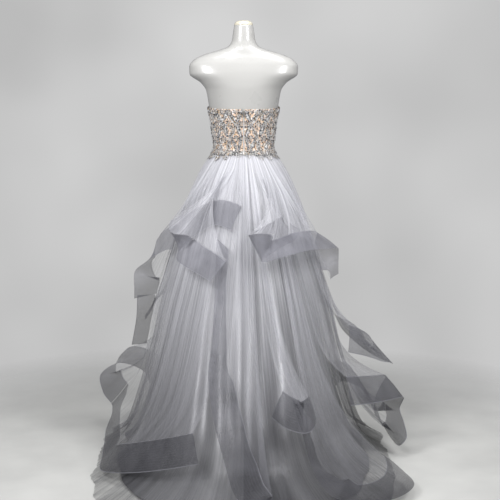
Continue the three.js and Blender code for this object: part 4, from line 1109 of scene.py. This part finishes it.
# %% [markdown]
# ## Dress form
#
# The form is a glass fibre shell with a glossy white lacquer, cut off flat at the arms and with a
# small cap on its neck. It could be sculpted, but its sections are known, so it is a ring of
# points at close steps between them, smooth enough for its lacquer to carry long reflections.

# %% Lacquer, and the form itself
def lacquer(name, colour):
    made, tree, shader = principled(name, Roughness=0.3, Coat_Weight=0.8, Coat_Roughness=0.12)
    place = object_place(tree)
    cloud = noise(tree, place, 9.0, 4.0)
    wire(shader, Base_Color=blend_colour(tree, cloud, [c * 0.95 for c in colour], colour),
         Roughness=spread(tree, cloud, 0.3, 0.7, 0.26, 0.36),
         Normal=bump(tree, 0.05, 0.001, noise(tree, place, 26.0, 2.0)))
    return made


WHITE_LACQUER = lacquer("white lacquer", (0.52, 0.515, 0.50))
CREAM = lacquer("cream cap", (0.74, 0.69, 0.56))


def capped(name, rows, material):
    """A closed round body through rings of points, low ring first, with a fan at each end."""
    rings, columns = rows.shape[:2]
    points = np.concatenate([rows.reshape(-1, 3), rows[0].mean(0)[None], rows[-1].mean(0)[None]]) * MM
    low, high = rings * columns, rings * columns + 1
    faces = []
    for i in range(columns):
        j = (i + 1) % columns
        faces += [(k * columns + i, k * columns + j, (k + 1) * columns + j, (k + 1) * columns + i)
                  for k in range(rings - 1)]
        faces += [(low, j, i), (high, (rings - 1) * columns + i, (rings - 1) * columns + j)]
    return smooth_object(name, points.tolist(), faces, material)


def level_rings(shape, low, high, count, columns, bust_rise=0):
    """Level rings of points round an outline, from a low height to a high one."""
    turns, z = np.meshgrid(np.linspace(0, 360, columns + 1)[:-1], np.linspace(low, high, count))
    return spot(turns, outline(shape, turns, z, True) + bust_rise * bust(turns, z), z)


torso = capped("form_torso", level_rings(FORM_SHAPE, 850, 1524, 170, 144, bust_rise=11), WHITE_LACQUER)
fasten(torso, "form", "dress_form")
CAP = sections([
    (1524.4, 35, 34, 34, 2), (1533, 33, 32, 32, 2), (1540, 24, 23, 23, 2), (1543, 10, 10, 10, 2),
])
neck = capped("form_neck_cap", level_rings(CAP, 1524.4, 1543, 16, 64), CREAM)
fasten(neck, "cap", "neck_cap")
print("form:", len(torso.data.polygons), "faces; neck cap:", len(neck.data.polygons))


# %% Brushed steel for the stand and the zip's metal
def brushed(name, colour, scale, roughness):
    made, tree, shader = principled(name, Metallic=1.0)
    inputs = {"Vector": object_place(tree), "Scale": (scale, scale, scale * 0.05)}
    grain = noise(tree, node(tree, "ShaderNodeMapping", inputs).outputs[0], 1.0, 5.0)
    wire(shader, Base_Color=blend_colour(tree, grain, [c * 0.8 for c in colour], colour),
         Roughness=spread(tree, grain, 0.2, 0.8, roughness * 0.8, roughness * 1.3),
         Normal=bump(tree, 0.1, 0.0005, grain))
    return made


STEEL = brushed("brushed steel", (0.55, 0.55, 0.56), 700, 0.3)
ZIP_METAL = brushed("silver zip metal", (0.50, 0.49, 0.48), 2500, 0.35)
for name, finish in (("stand_pole", STEEL), ("stand_base", STEEL), ("zip_slider", ZIP_METAL),
                     ("zip_pull_tab", ZIP_METAL), ("top_hook", ZIP_METAL)):
    node_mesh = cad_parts[name].data
    node_mesh.materials.clear()
    node_mesh.materials.append(finish)
print("metal:", STEEL.name, "and", ZIP_METAL.name)

# %% [markdown]
# ## Floor, light and camera
#
# The gown is seen level, from 1.15 m above the floor, as high as its zip. A pale worn floor fades
# into a pale backdrop. Two soft lights stand high on either side of the camera, and one hangs
# over the gown. A bright room all round would be simpler, but it would wash out the folds.

# %% Floor: pale and worn, fading out before it ends
FLOOR_REACH, FLOOR_SIDES = 2.6, 64
floor_finish, tree, shader = principled("pale floor", Roughness=0.75)
place = object_place(tree)
grain = spread(tree, noise(tree, place, 4.0, 6.0), 0.3, 0.7)
away = node(tree, "ShaderNodeVectorMath", {0: place}, operation="LENGTH").outputs["Value"]
wire(shader, Base_Color=blend_colour(tree, grain, (0.56, 0.56, 0.545), (0.66, 0.66, 0.64)),
     Alpha=spread(tree, away, 0.85, 1.7, 1.0, 0.0))
ring = [(FLOOR_REACH * math.cos(2 * math.pi * k / FLOOR_SIDES),
         FLOOR_REACH * math.sin(2 * math.pi * k / FLOOR_SIDES), 0) for k in range(FLOOR_SIDES)]
floor = smooth_object("studio_floor", ring, [tuple(range(FLOOR_SIDES))], floor_finish)
floor.location.z = -0.0005

# %% Backdrop and soft light
# The backdrop is only seen: what it adds to the light is small, so the folds keep their shadows.
world = bpy.data.worlds.new("pale studio")
world.use_nodes = True
tree = world.node_tree
seen = tree.nodes["Background"]
way = node(tree, "ShaderNodeTexCoord").outputs["Generated"]
mottle = spread(tree, noise(tree, way, 5.0, 2.0), 0.3, 0.7)
wire(seen, Color=blend_colour(tree, mottle, (0.50, 0.50, 0.50), (0.66, 0.66, 0.66)))
fill = node(tree, "ShaderNodeBackground", {"Color": (0.96, 0.97, 1.0, 1), "Strength": 0.22})
ray = node(tree, "ShaderNodeLightPath").outputs["Is Camera Ray"]
both = node(tree, "ShaderNodeMixShader", {0: ray, 1: fill.outputs[0], 2: seen.outputs[0]})
tree.links.new(both.outputs[0], tree.nodes["World Output"].inputs["Surface"])
bpy.context.scene.world = world
bpy.context.scene.view_settings.view_transform = "Standard"


def soft_light(name, place, aim, size, watts):
    lamp = bpy.data.lights.new(name, "AREA")
    lamp.shape = "RECTANGLE"
    lamp.size, lamp.size_y = size
    lamp.energy = watts
    made = add_object(name, lamp)
    made.location = place
    made.rotation_euler = (Vector(aim) - Vector(place)).to_track_quat("-Z", "Y").to_euler()


soft_light("soft_left", (-1.5, -2.0, 2.3), (0, 0, 1.05), (0.6, 0.9), 57)
soft_light("soft_right", (1.7, -1.8, 2.2), (0, 0, 1.0), (0.5, 0.9), 43)
soft_light("soft_top", (0.2, -0.4, 2.9), (0, -0.1, 1.0), (1.4, 0.8), 22)

# %% Camera
DISTANCE, EYE_HEIGHT = 3.9, 1.15
# The picture is square. Its side, the lens's reach, the gown's axis and eye level are in pixels.
PICTURE, LENS_REACH, AXIS_ACROSS, EYE_DOWN = 500, 1054, 243.6, 126.7
lens = bpy.data.cameras.new("studio_camera")
lens.sensor_width = 36.0
lens.lens = lens.sensor_width * LENS_REACH / PICTURE
lens.shift_x = (PICTURE / 2 - AXIS_ACROSS) / PICTURE
lens.shift_y = -(PICTURE / 2 - EYE_DOWN) / PICTURE
camera = add_object("studio_camera", lens)
camera.location = (0, -DISTANCE, EYE_HEIGHT)
camera.rotation_euler = (math.radians(90), 0, 0)
bpy.context.scene.camera = camera
